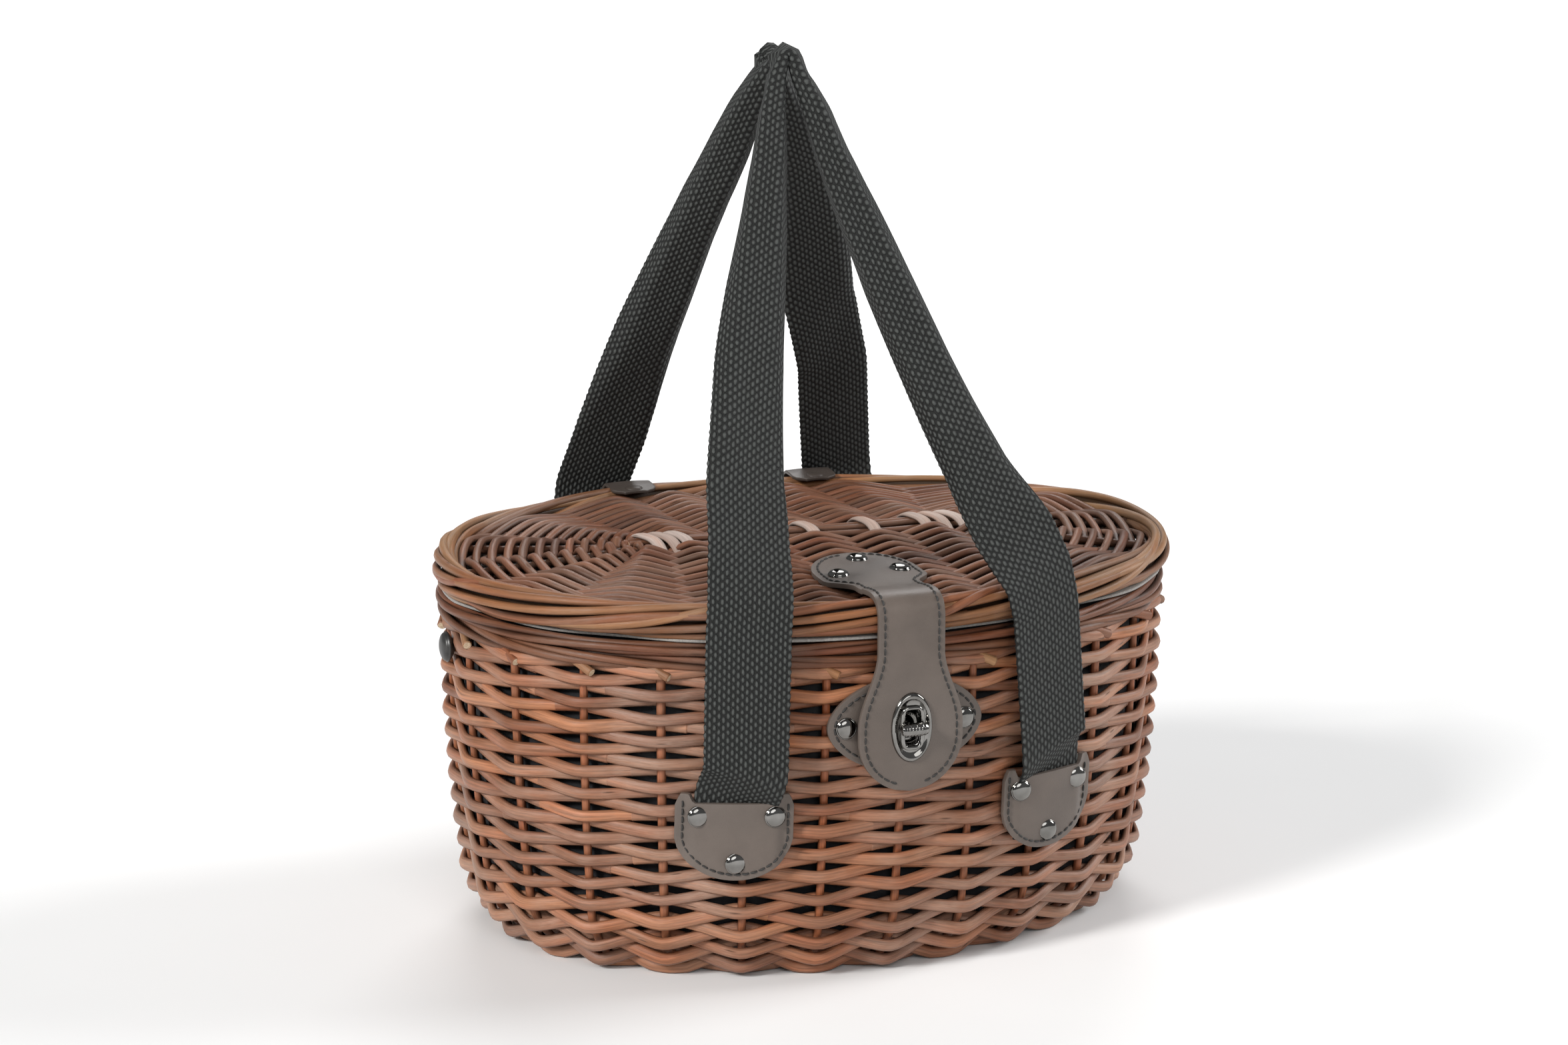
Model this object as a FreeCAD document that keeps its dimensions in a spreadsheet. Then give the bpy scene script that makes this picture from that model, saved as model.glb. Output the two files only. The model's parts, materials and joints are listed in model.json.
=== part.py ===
import FreeCAD, Part
import math
import os

from FreeCAD import Rotation, Vector

# An oval wicker picnic basket with a hinged lid, a leather latch with a turn-lock and two
# webbing carry handles. Millimetres, +Z up, +X along the basket, -Y towards the latch.
# The origin is the middle of the underside of the base.

SIZES = {
    # Plan of the lid: an oval of four tangent arcs. Every other oval is this one moved inwards.
    "plan_half_length": 200,
    "plan_half_depth": 152,
    "plan_end_radius": 132,
    # Woven wall
    "wall_inset": 4,
    "wall_thickness": 10,
    "wall_top": 168,
    "wall_taper": 14,
    "wall_taper_height": 160,
    "foot_inset": 22,
    "foot_height": 36,
    "fit_gap": 0.3,
    # Stakes and the rods above the weave
    "stake_count": 26,
    "stake_radius": 2.5,
    "stake_bottom": 14,
    "stake_top": 173,
    "wale_inset": 2.5,
    "wale_top": 175.6,
    "border_half_width": 5.7,
    "border_half_height": 2.9,
    "border_top": 181.6,
    # Base
    "base_thickness": 9,
    "base_rod_radius": 2.1,
    "base_long_rods": 5,
    "base_long_rod_pitch": 22,
    "base_cross_rods": 9,
    "base_cross_rod_pitch": 30,
    # Fabric lining
    "lining_thickness": 1.2,
    "lining_gap": 0.4,
    # Lid
    "lid_underside": 184,
    "lid_border_half_width": 6.8,
    "lid_border_half_height": 9.2,
    "lid_weave_bottom": 188,
    "lid_weave_edge_top": 196,
    "lid_weave_crown": 201,
    "lid_crown_inset": 95,
    "lid_spoke_radius": 2.2,
    "lid_cross_sticks": 5,
    "lid_cross_stick_pitch": 34,
    "lid_end_spokes": 5,
    "lid_spoke_hub": 85,
    "lid_centre_rods": 6,
    "lid_centre_rod_radius": 2.2,
    "lid_centre_rod_length": 196,
    "lid_wrap_width": 7,
    "lid_wrap_thickness": 1.6,
    "lid_pad_bottom": 182,
    "lid_pad_edge_inset": 5,
    "lid_pad_inner_inset": 16,
    # Leather
    "leather": 2.5,
    "patch_offset": 84,
    "patch_half_width": 29.5,
    "patch_bottom": 60,
    "patch_side_bottom": 82,
    "patch_top": 101,
    "patch_ear_rise": 4.5,
    "patch_rivet_offset": 19.2,
    "patch_rivet_row": 94,
    "patch_rivet_bottom": 69,
    # Handles
    "webbing_width": 42,
    "webbing_thickness": 2.2,
    "strap_end_bottom": 66,
    "fold_height": 118,
    "fold_clearance": 3,
    "front_handle_plane": 150.6,
    "rear_handle_plane": 153.8,
    "handle_lid_height": 207,
    "handle_lid_half_span": 76,
    "handle_lean": -13,
    "handle_apex_height": 461,
    "handle_apex_half_span": 7,
    "handle_apex_depth": 8.5,
    "handle_apex_width": 13,
    "handle_apex_thickness": 9,
    # Latch
    "latch_neck_half_width": 17.5,
    "latch_bulb_radius": 27.5,
    "latch_height": 138,
    "latch_bottom": 105,
    "latch_plane": 153.5,
    "latch_tab_level": 203.3,
    "latch_tab_radius": 28,
    "latch_tab_centre": 92,
    "tab_rivet_front": 97,
    "tab_rivet_rear": 74.5,
    "tab_rivet_offset": 15.6,
    "backing_half_width": 41,
    "backing_half_height": 24,
    "backing_rivet_offset": 31.5,
    "eyelet_half_width": 11,
    "eyelet_half_height": 18,
    "eyelet_thickness": 1.3,
    "slot_half_width": 4.3,
    "slot_half_height": 9,
    "lock_base_radius": 10,
    "lock_base_thickness": 1.2,
    "stem_radius": 2,
    "knob_radius": 3.1,
    "knob_length": 15,
    "knob_reach": 161,
    # Lid hinges
    "hinge_offset": 54,
    "hinge_width": 26,
    "hinge_plane": 148.9,
    "hinge_thickness": 1.8,
    "hinge_tab_inner": 120,
    "hinge_tab_bottom": 186,
    "hinge_drop_top": 181.8,
    "hinge_drop_bottom": 126,
    # Rivets and the end buttons
    "rivet_radius": 5.5,
    "rivet_dome_height": 2.4,
    "rivet_shank_radius": 1.8,
    "rivet_shank_length": 6,
    "button_radius": 8,
    "button_height": 4,
    "button_level": 157,
}

os.makedirs("parts", exist_ok=True)
doc = FreeCAD.newDocument("wicker_basket")
sheet = doc.addObject("Spreadsheet::Sheet", "sizes")
for row, (alias, value) in enumerate(SIZES.items(), start=1):
    sheet.set(f"A{row}", alias)
    sheet.set(f"B{row}", str(value))
    sheet.setAlias(f"B{row}", alias)
doc.recompute()

nodes = []


def size(alias):
    return float(sheet.get(alias))


def count(alias):
    return int(sheet.get(alias))


def keep(obj, label):
    """Makes obj a sub-part, written under its label."""
    obj.Label = label
    nodes.append(obj)
    return obj


def feature(label, shape):
    """A sub-part whose outline no primitive gives."""
    obj = doc.addObject("Part::Feature", label)
    obj.Shape = shape
    return keep(obj, label)


def primitive(kind, name, **bindings):
    """A Part primitive whose sizes follow the sheet."""
    obj = doc.addObject("Part::" + kind, name)
    for prop, formula in bindings.items():
        obj.setExpression(prop.replace("__", "."), formula)
    return obj


# --- The family of ovals -------------------------------------------------------------------

HALF_LENGTH = size("plan_half_length")
HALF_DEPTH = size("plan_half_depth")
END_RADIUS = size("plan_end_radius")
END_CENTRE = HALF_LENGTH - END_RADIUS
SIDE_RADIUS = (HALF_LENGTH**2 + HALF_DEPTH**2 - 2 * HALF_LENGTH * END_RADIUS) / (
    2 * (HALF_DEPTH - END_RADIUS)
)
SIDE_CENTRE = SIDE_RADIUS - HALF_DEPTH
JUNCTION_ANGLE = math.atan2(END_CENTRE, SIDE_CENTRE)


def oval(inset, z):
    """The plan oval moved inwards by inset, at height z, as a wire of four tangent arcs."""
    end_radius = END_RADIUS - inset
    side_radius = SIDE_RADIUS - inset
    side_x = side_radius * math.sin(JUNCTION_ANGLE)
    side_y = side_radius * math.cos(JUNCTION_ANGLE) - SIDE_CENTRE
    corners = [Vector(x * side_x, y * side_y, z) for x, y in ((1, -1), (1, 1), (-1, 1), (-1, -1))]
    middles = [
        Vector(END_CENTRE + end_radius, 0, z),
        Vector(0, side_radius - SIDE_CENTRE, z),
        Vector(-END_CENTRE - end_radius, 0, z),
        Vector(0, SIDE_CENTRE - side_radius, z),
    ]
    arcs = [Part.Arc(corners[i], middles[i], corners[(i + 1) % 4]).toShape() for i in range(4)]
    return Part.Wire(arcs)


def oval_points(inset, z, number):
    """Points at equal spacing round an oval, the first at the middle of the front."""
    wire = oval(inset, z)
    start = wire.Edges[3].Length / 2
    fine = wire.discretize(Number=2001)[:-1]
    total = wire.Length
    steps = [round(((total - start) / total + i / number) % 1 * 2000) % 2000 for i in range(number)]
    return [fine[step] for step in steps]


def oval_prism(inset, bottom, top):
    return Part.Face(oval(inset, bottom)).extrude(Vector(0, 0, top - bottom))


def oval_loft(inset_at, levels):
    """A solid through ovals, straight between one level and the next."""
    return Part.makeLoft([oval(inset_at(z), z) for z in levels], True, True)


def rolled_ring(inset, z, half_width, half_height):
    """A closed ring round the oval with an elliptical section."""
    path = oval(inset, z)
    front = Vector(0, -(HALF_DEPTH - inset), z)
    section = ring_section(front, half_width, half_height)
    start = path.Edges[3]
    halves = start.split(start.getParameterByLength(start.Length / 2)).Edges
    ordered = Part.Wire([halves[1], path.Edges[0], path.Edges[1], path.Edges[2], halves[0]])
    return ordered.makePipeShell([section], True, False)


def ring_section(centre, half_width, half_height):
    """An ellipse in the YZ plane, half_width along Y and half_height along Z."""
    across, upward = Vector(0, 1, 0), Vector(0, 0, 1)
    if half_width >= half_height:
        curve = Part.Ellipse(centre + across * half_width, centre + upward * half_height, centre)
    else:
        curve = Part.Ellipse(centre + upward * half_height, centre + across * half_width, centre)
    return Part.Wire([curve.toShape()])


def wall_inset(z):
    """How far the outside of the wall stands inside the plan oval at height z."""
    taper = max(0.0, 1 - z / size("wall_taper_height")) ** 2
    foot = max(0.0, 1 - z / size("foot_height")) ** 2
    return size("wall_inset") + size("wall_taper") * taper + size("foot_inset") * foot


def wall_frame(x, z, offset, side):
    """A point offset outwards from the wall, with the wall's outward normal and its tangent.

    side is -1 for the front of the basket and 1 for the back.
    """
    radius = SIDE_RADIUS - wall_inset(z)
    y = math.sqrt(radius**2 - x**2)
    normal = Vector(x / radius, side * y / radius, 0)
    tangent = Vector(-side * normal.y, side * normal.x, 0)
    point = Vector(x, side * (y - SIDE_CENTRE), z) + normal * offset
    return point, normal, tangent


# --- Base ----------------------------------------------------------------------------------

WALL = size("wall_thickness")
GAP = size("fit_gap")
base_top = size("base_thickness")
feature("base_weave", oval_loft(lambda z: wall_inset(z) + WALL + GAP, [0, base_top / 2, base_top]))


def rod(start, end, radius):
    run = end - start
    return Part.makeCylinder(radius, run.Length, start, run)


def base_rods(number, pitch, along, across, half_extent, z):
    """Straight rods side by side, each as long as the oval base lets it be."""
    rods = []
    for i in range(number):
        shift = (i - (number - 1) / 2) * pitch
        shorten = 1 - (shift / half_extent[1]) ** 2
        reach = half_extent[0] * math.sqrt(shorten) * 0.93
        middle = across * shift + Vector(0, 0, z)
        rods.append(rod(middle - along * reach, middle + along * reach, size("base_rod_radius")))
    return Part.makeCompound(rods)


ALONG, ACROSS, UP = Vector(1, 0, 0), Vector(0, 1, 0), Vector(0, 0, 1)
base_inset = wall_inset(0) + WALL
base_half = (HALF_LENGTH - base_inset, HALF_DEPTH - base_inset)
low_rods = size("base_rod_radius") + GAP
high_rods = low_rods + 2 * size("base_rod_radius") + GAP / 2
feature(
    "base_long_sticks",
    base_rods(count("base_long_rods"), size("base_long_rod_pitch"), ALONG, ACROSS, base_half, low_rods),
)
feature(
    "base_cross_sticks",
    base_rods(
        count("base_cross_rods"), size("base_cross_rod_pitch"), ACROSS, ALONG, base_half[::-1], high_rods
    ),
)

# --- Wall, stakes and rim ------------------------------------------------------------------

wall_top = size("wall_top")
curve_levels = [12, 18, 26, 36, 50, 70, 95, 130]
wall_levels = [0, 3, 7] + curve_levels + [wall_top]
wall_outside = oval_loft(wall_inset, wall_levels)
wall_inside = oval_loft(lambda z: wall_inset(z) + WALL, wall_levels)
feature("side_weave", wall_outside.cut(wall_inside))

stake_levels = [size("stake_bottom")] + curve_levels[1:] + [size("stake_top")]
stake_rings = [oval_points(wall_inset(z) + WALL / 2, z, count("stake_count")) for z in stake_levels]
stakes = []
for points in zip(*stake_rings):
    path = Part.makePolygon(list(points))
    circle = Part.makeCircle(size("stake_radius"), points[0], points[1] - points[0])
    stakes.append(path.makePipeShell([Part.Wire([circle])], True, False, 1))
feature("side_stakes", Part.makeCompound(stakes))

wale_bottom = wall_top + GAP
wale = oval_prism(size("wale_inset"), wale_bottom, size("wale_top"))
wale_hole = oval_prism(size("wall_inset") + WALL, wale_bottom, size("wale_top"))
feature("top_wale", wale.cut(wale_hole))

border_centre = size("border_top") - size("border_half_height")
border_inset = size("wale_inset") + size("border_half_width")
feature(
    "body_border",
    rolled_ring(border_inset, border_centre, size("border_half_width"), size("border_half_height")),
)

# --- Lining --------------------------------------------------------------------------------

lining_bottom = base_top + size("lining_gap")
lining_floor = lining_bottom + size("lining_thickness")
lining_inset = WALL + size("lining_gap")
lining_levels = [lining_bottom] + curve_levels + [size("border_top") - 0.6]
lining_out = oval_loft(lambda z: wall_inset(z) + lining_inset, lining_levels)
lining_in = oval_loft(lambda z: wall_inset(z) + lining_inset + size("lining_thickness"), lining_levels)
below_floor = oval_prism(0, 0, lining_floor)
lining_in = lining_in.cut(below_floor)
feature("lining", lining_out.cut(lining_in))

# --- Lid -----------------------------------------------------------------------------------

lid_rim = 2 * size("lid_border_half_width")
lid_border_centre = size("lid_underside") + size("lid_border_half_height")
feature(
    "lid_border",
    rolled_ring(
        size("lid_border_half_width"),
        lid_border_centre,
        size("lid_border_half_width"),
        size("lid_border_half_height"),
    ),
)

weave_inset = lid_rim + GAP
weave_bottom, weave_edge_top = size("lid_weave_bottom"), size("lid_weave_edge_top")
crown_inset, crown = size("lid_crown_inset"), size("lid_weave_crown")
lid_plate = oval_prism(weave_inset, weave_bottom, weave_edge_top)
lid_dome = Part.makeLoft([oval(weave_inset, weave_edge_top), oval(crown_inset, crown)], True, True)
feature("lid_weave", lid_plate.fuse(lid_dome).removeSplitter())

stick_level = (weave_bottom + weave_edge_top) / 2
spoke_radius = size("lid_spoke_radius")
cross_sticks = []
for i in range(count("lid_cross_sticks")):
    x = (i - (count("lid_cross_sticks") - 1) / 2) * size("lid_cross_stick_pitch")
    reach = math.sqrt(SIDE_RADIUS**2 - x**2) - SIDE_CENTRE - size("lid_border_half_width")
    cross_sticks.append(rod(Vector(x, -reach, stick_level), Vector(x, reach, stick_level), spoke_radius))
feature("lid_cross_sticks", Part.makeCompound(cross_sticks))

spokes = []
hub = size("lid_spoke_hub")
hub_shift = hub - END_CENTRE
spoke_start = 8
for end in (-1, 1):
    for i in range(count("lid_end_spokes")):
        angle = math.radians((i - (count("lid_end_spokes") - 1) / 2) * 32)
        outward = Vector(end * math.cos(angle), math.sin(angle), 0)
        centre = Vector(end * hub, 0, stick_level)
        rim = END_RADIUS - size("lid_border_half_width")
        reach = math.sqrt(rim**2 - (hub_shift * math.sin(angle)) ** 2) - hub_shift * math.cos(angle)
        spokes.append(rod(centre + outward * spoke_start, centre + outward * reach, spoke_radius))
feature("lid_end_spokes", Part.makeCompound(spokes))

rod_radius = size("lid_centre_rod_radius")
rod_level = crown + rod_radius + GAP
rod_pitch = 2 * rod_radius + 0.1
centre_rods = []
for i in range(count("lid_centre_rods")):
    y = (i - (count("lid_centre_rods") - 1) / 2) * rod_pitch
    half = size("lid_centre_rod_length") / 2
    centre_rods.append(rod(Vector(-half, y, rod_level), Vector(half, y, rod_level), rod_radius))
feature("lid_centre_rods", Part.makeCompound(centre_rods))

# Split-willow bands hold the centre rods down: a group at each end and two between.
wrap_width = size("lid_wrap_width")
wrap_half = count("lid_centre_rods") * rod_pitch / 2 + 1
wrap_level = rod_level + rod_radius + GAP / 2
end_group = size("lid_centre_rod_length") / 2 - 24
wrap_places = [-32, 16]
wrap_places += [end * (end_group + step * (wrap_width + 1)) for end in (-1, 1) for step in (-1, 0, 1)]
wraps = [
    Part.makeBox(
        wrap_width,
        2 * wrap_half,
        size("lid_wrap_thickness"),
        Vector(x - wrap_width / 2, -wrap_half, wrap_level),
    )
    for x in wrap_places
]
feature("lid_wraps", Part.makeCompound(wraps))

pad_bottom = size("lid_pad_bottom")
pad_rim = oval_prism(size("lid_pad_edge_inset"), pad_bottom, size("lid_underside") - GAP / 2)
pad_middle = oval_prism(size("lid_pad_inner_inset"), pad_bottom, weave_bottom - GAP)
feature("lid_lining", pad_rim.fuse(pad_middle).removeSplitter())

# --- Leather patches, strap ends and their rivets ------------------------------------------

LEATHER = size("leather")


def wall_layer(inner_offset, outer_offset, bottom, top):
    """A skin that follows the wall between two offsets outwards from it."""
    levels = [bottom + (top - bottom) * i / 4 for i in range(5)]
    outer = oval_loft(lambda z: wall_inset(z) - outer_offset, levels)
    return outer.cut(oval_loft(lambda z: wall_inset(z) - inner_offset, levels))


def standing_face(points, centre, tangent):
    """A face from (across, height) outlines of points and arc middles, standing along tangent."""
    edges = []
    for start, middle, end in points:
        ends = [centre + tangent * u + UP * v for u, v in (start, end)]
        if middle is None:
            edges.append(Part.makeLine(*ends))
        else:
            through = centre + tangent * middle[0] + UP * middle[1]
            edges.append(Part.Arc(ends[0], through, ends[1]).toShape())
    return Part.Face(Part.Wire(edges))


def patch_outline():
    """A shield: two ears beside the strap, straight sides and a round bottom."""
    half, ear_inner = size("patch_half_width"), size("webbing_width") / 2 + 1
    top, ear = size("patch_top"), size("patch_top") + size("patch_ear_rise")
    low = size("patch_side_bottom")
    corners = [(half, low), (half, ear), (ear_inner, ear), (ear_inner, top)]
    corners += [(-u, v) for u, v in reversed(corners)]
    straight = [(corners[i], None, corners[i + 1]) for i in range(len(corners) - 1)]
    return straight + [(corners[-1], (0, size("patch_bottom")), corners[0])]


rivet_shank = primitive(
    "Cylinder",
    "rivet_shank",
    Radius="sizes.rivet_shank_radius",
    Height="sizes.rivet_shank_length",
    Placement__Base__z="-sizes.rivet_shank_length",
)
rivet_head = primitive(
    "Cone",
    "rivet_head",
    Radius1="sizes.rivet_radius",
    Radius2="sizes.rivet_radius * 0.55",
    Height="sizes.rivet_dome_height",
)
rivet = doc.addObject("Part::Fuse", "rivet")
rivet.Base = rivet_shank
rivet.Tool = rivet_head
doc.recompute()


def rivets(places):
    """Copies of the rivet, each at (point, outward direction)."""
    copies = []
    for point, outward in places:
        copy = rivet.Shape.copy()
        copy.Placement = FreeCAD.Placement(point, Rotation(UP, outward))
        copies.append(copy)
    return Part.makeCompound(copies)


strap_layer = size("webbing_thickness") - 0.3
patch_inner = strap_layer + 2 * GAP


def flat_section(centre, direction, width, thickness):
    """A rectangle in a level plane, width along direction."""
    side = direction * (width / 2)
    deep = Vector(-direction.y, direction.x, 0) * (thickness / 2)
    corners = [centre - side - deep, centre + side - deep, centre + side + deep, centre - side + deep]
    return Part.makePolygon(corners + corners[:1])


for side, name, plane in (
    (-1, "front", size("front_handle_plane")),
    (1, "rear", size("rear_handle_plane")),
):
    ends = []
    for x, hand in ((-size("patch_offset"), "left"), (size("patch_offset"), "right")):
        bottom, top = size("patch_bottom") - 2, size("patch_top") + size("patch_ear_rise") + 1
        centre, normal, tangent = wall_frame(x, top, 0, side)
        foot = Vector(centre.x, centre.y, 0)
        layer = wall_layer(patch_inner, patch_inner + LEATHER, bottom, top)
        prism = standing_face(patch_outline(), foot - normal * 30, tangent).extrude(normal * 60)
        feature(f"patch_{name}_{hand}", layer.common(prism))

        half = size("webbing_width") / 2 - 0.5
        low, high = size("strap_end_bottom"), size("patch_top") + 1
        corners = [(half, low), (half, high), (-half, high), (-half, low)]
        outline = [(corners[i], None, corners[(i + 1) % 4]) for i in range(4)]
        tail_prism = standing_face(outline, foot - normal * 30, tangent).extrude(normal * 60)
        tail = wall_layer(GAP, strap_layer, low - 2, high + 2).common(tail_prism)
        start, _, _ = wall_frame(x, high, strap_layer / 2 + 0.8, side)
        finish = Vector(x, side * plane, size("fold_height") - size("fold_clearance"))
        riser = Part.makeLoft(
            [
                flat_section(start - UP * 0.5, tangent, 2 * half, strap_layer),
                flat_section(start + UP * 3, tangent, 2 * half, strap_layer),
                flat_section(finish, ALONG, 2 * half, strap_layer),
            ],
            True,
            True,
        )
        ends.append(tail.fuse(riser))

        places = []
        for u, z in (
            (-size("patch_rivet_offset"), size("patch_rivet_row")),
            (size("patch_rivet_offset"), size("patch_rivet_row")),
            (0, size("patch_rivet_bottom")),
        ):
            near = wall_frame(x, z, 0, side)[0] + tangent * u
            point, outward, _ = wall_frame(near.x, z, patch_inner + LEATHER, side)
            places.append((point, outward))
        feature(f"patch_rivets_{name}_{hand}", rivets(places))
    feature(f"strap_ends_{name}", Part.makeCompound(ends))

# --- Webbing handles -----------------------------------------------------------------------


def handle(side, plane):
    """Two legs of flat webbing that narrow as they fold together towards the apex."""
    fold, lid = size("fold_height"), size("handle_lid_height")
    apex = size("handle_apex_height")
    width, thickness = size("webbing_width"), size("webbing_thickness")
    solids = []
    for hand in (-1, 1):
        foot = Vector(hand * size("patch_offset"), side * plane, fold)
        sections = [flat_section(foot, ALONG, width, thickness)]
        for step in range(6):
            rise = step / 5
            half_span = size("handle_lid_half_span") * (1 - rise) + size("handle_apex_half_span") * rise
            centre = Vector(
                size("handle_lean") + hand * half_span,
                side * (plane * (1 - rise) + size("handle_apex_depth") * rise),
                lid + (apex - 12 - lid) * rise,
            )
            narrow = width + (size("handle_apex_width") - width) * rise**1.6
            thick = thickness + (size("handle_apex_thickness") - thickness) * rise**2
            sections.append(flat_section(centre, ALONG, narrow, thick))
        solids.append(Part.makeLoft(sections, True, True))
    middle = Vector(size("handle_lean"), side * size("handle_apex_depth"), 0)
    cap_width = 2 * size("handle_apex_half_span") + size("handle_apex_width")
    cap = Part.makeLoft(
        [
            flat_section(middle + UP * (apex - 13), ALONG, cap_width, size("handle_apex_thickness")),
            flat_section(middle + UP * (apex - 7), ALONG, cap_width, size("handle_apex_thickness")),
            flat_section(middle + UP * apex, ALONG, cap_width / 2, size("handle_apex_thickness") - 1),
        ],
        True,
        True,
    )
    return solids[0].fuse([solids[1], cap]).removeSplitter()


feature("front_handle", handle(-1, size("front_handle_plane")))
feature("rear_handle", handle(1, size("rear_handle_plane")))

# --- Latch ---------------------------------------------------------------------------------

front_plane = -size("latch_plane")
tab_level = size("latch_tab_level")
neck = size("latch_neck_half_width")
bulb = size("latch_bulb_radius")
latch_z = size("latch_height")
front = Vector(0, front_plane, 0)

# The flap hangs from the fold: a neck that widens into a bulb round the turn-lock.
bulb_centre = size("latch_bottom") + bulb
shoulder = bulb_centre + 12
flap_top = tab_level - GAP
flap_outline = [
    ((bulb, bulb_centre), None, (bulb - 2, shoulder)),
    ((bulb - 2, shoulder), (neck + 3, shoulder + 16), (neck, shoulder + 32)),
    ((neck, shoulder + 32), None, (neck, flap_top)),
    ((neck, flap_top), None, (-neck, flap_top)),
    ((-neck, flap_top), None, (-neck, shoulder + 32)),
    ((-neck, shoulder + 32), (-neck - 3, shoulder + 16), (2 - bulb, shoulder)),
    ((2 - bulb, shoulder), None, (-bulb, bulb_centre)),
    ((-bulb, bulb_centre), (0, size("latch_bottom")), (bulb, bulb_centre)),
]
flap = standing_face(flap_outline, front, ALONG).extrude(Vector(0, -LEATHER, 0))


def slot_tool(grow):
    half_width, half_height = size("slot_half_width") + grow, size("slot_half_height") + grow
    corner = Vector(-half_width, front_plane - 20, latch_z - half_height)
    return Part.makeBox(2 * half_width, 40, 2 * half_height, corner)


feature("latch_flap", flap.cut(slot_tool(0.8)))


def oval_plate(half_width, half_height, y, thickness):
    """An upright elliptical plate, centred on the turn-lock, from y forwards by thickness."""
    centre = Vector(0, y, latch_z)
    curve = Part.Ellipse(centre + UP * half_height, centre + ALONG * half_width, centre)
    return Part.Face(Part.Wire([curve.toShape()])).extrude(Vector(0, -thickness, 0))


eyelet_y = front_plane - LEATHER
eyelet = oval_plate(size("eyelet_half_width"), size("eyelet_half_height"), eyelet_y, size("eyelet_thickness"))
feature("eyelet_plate", eyelet.cut(slot_tool(0)))
backplate = oval_plate(size("eyelet_half_width"), size("eyelet_half_height"), front_plane + 0.7, 0.6)
feature("eyelet_back_plate", backplate.cut(slot_tool(0)))

# The tab lies on the lid: a round head with a neck that runs to the fold.
head = Vector(0, -size("latch_tab_centre"), tab_level)
radius = size("latch_tab_radius")
neck_start = head.y - math.sqrt(radius**2 - neck**2)
fold_y = front_plane + GAP
head_arc = Part.Arc(
    Vector(neck, neck_start, tab_level),
    head + ACROSS * radius,
    Vector(-neck, neck_start, tab_level),
)
neck_corners = [
    Vector(-neck, neck_start, tab_level),
    Vector(-neck, fold_y, tab_level),
    Vector(neck, fold_y, tab_level),
    Vector(neck, neck_start, tab_level),
]
tab_wire = Part.Wire([head_arc.toShape()] + Part.makePolygon(neck_corners).Edges)
feature("latch_tab", Part.Face(tab_wire).extrude(UP * LEATHER))
tab_top = tab_level + LEATHER
tab_places = [(Vector(0, -size("tab_rivet_rear"), tab_top), UP)]
for x in (-size("tab_rivet_offset"), size("tab_rivet_offset")):
    tab_places.append((Vector(x, -size("tab_rivet_front"), tab_top), UP))
feature("latch_tab_rivets", rivets(tab_places))

# A leaf of leather behind the flap carries the turn-lock.
half_width, half_height = size("backing_half_width"), size("backing_half_height")
leaf = [
    ((half_width, latch_z), (half_width * 0.55, latch_z + half_height * 0.83), (0, latch_z + half_height)),
    ((0, latch_z + half_height), (-half_width * 0.55, latch_z + half_height * 0.83), (-half_width, latch_z)),
    ((-half_width, latch_z), (-half_width * 0.55, latch_z - half_height * 0.83), (0, latch_z - half_height)),
    ((0, latch_z - half_height), (half_width * 0.55, latch_z - half_height * 0.83), (half_width, latch_z)),
]
leaf_face = standing_face(leaf, Vector(0, front_plane - 20, 0), ALONG)
leaf_layer = wall_layer(GAP, LEATHER - 0.4, latch_z - half_height - 2, latch_z + half_height + 2)
feature("latch_backing", leaf_layer.common(leaf_face.extrude(Vector(0, 60, 0))))
backing_places = []
for x in (-size("backing_rivet_offset"), size("backing_rivet_offset")):
    point, outward, _ = wall_frame(x, latch_z, LEATHER - 0.4, -1)
    backing_places.append((point, outward))
feature("backing_rivets", rivets(backing_places))

# Turn-lock: a round base on the backing, and a knob that turns on a stem through the eyelet.
backing_face = wall_frame(0, latch_z, LEATHER - 0.4, -1)[0].y
lock_base = primitive(
    "Cylinder",
    "lock_base_disc",
    Radius="sizes.lock_base_radius",
    Height="sizes.lock_base_thickness",
)
lock_base.Placement = FreeCAD.Placement(Vector(0, backing_face - GAP / 2, latch_z), Rotation(UP, ACROSS * -1))
keep(lock_base, "turn_lock_base")

stem_start = backing_face - GAP - size("lock_base_thickness")
stem = primitive("Cylinder", "stem", Radius="sizes.stem_radius")
stem.Height = size("knob_reach") + stem_start
stem.Placement = FreeCAD.Placement(Vector(0, stem_start, latch_z), Rotation(UP, ACROSS * -1))
knob = primitive("Cylinder", "knob", Radius="sizes.knob_radius", Height="sizes.knob_length")
knob.Placement = FreeCAD.Placement(
    Vector(-size("knob_length") / 2, -size("knob_reach"), latch_z), Rotation(UP, ALONG)
)
toggle = doc.addObject("Part::Fuse", "toggle")
toggle.Base = stem
toggle.Tool = knob
keep(toggle, "turn_lock_knob")

# --- Lid hinges: a leather tab over the lid's rear border and a drop down the wall -----------

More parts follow.
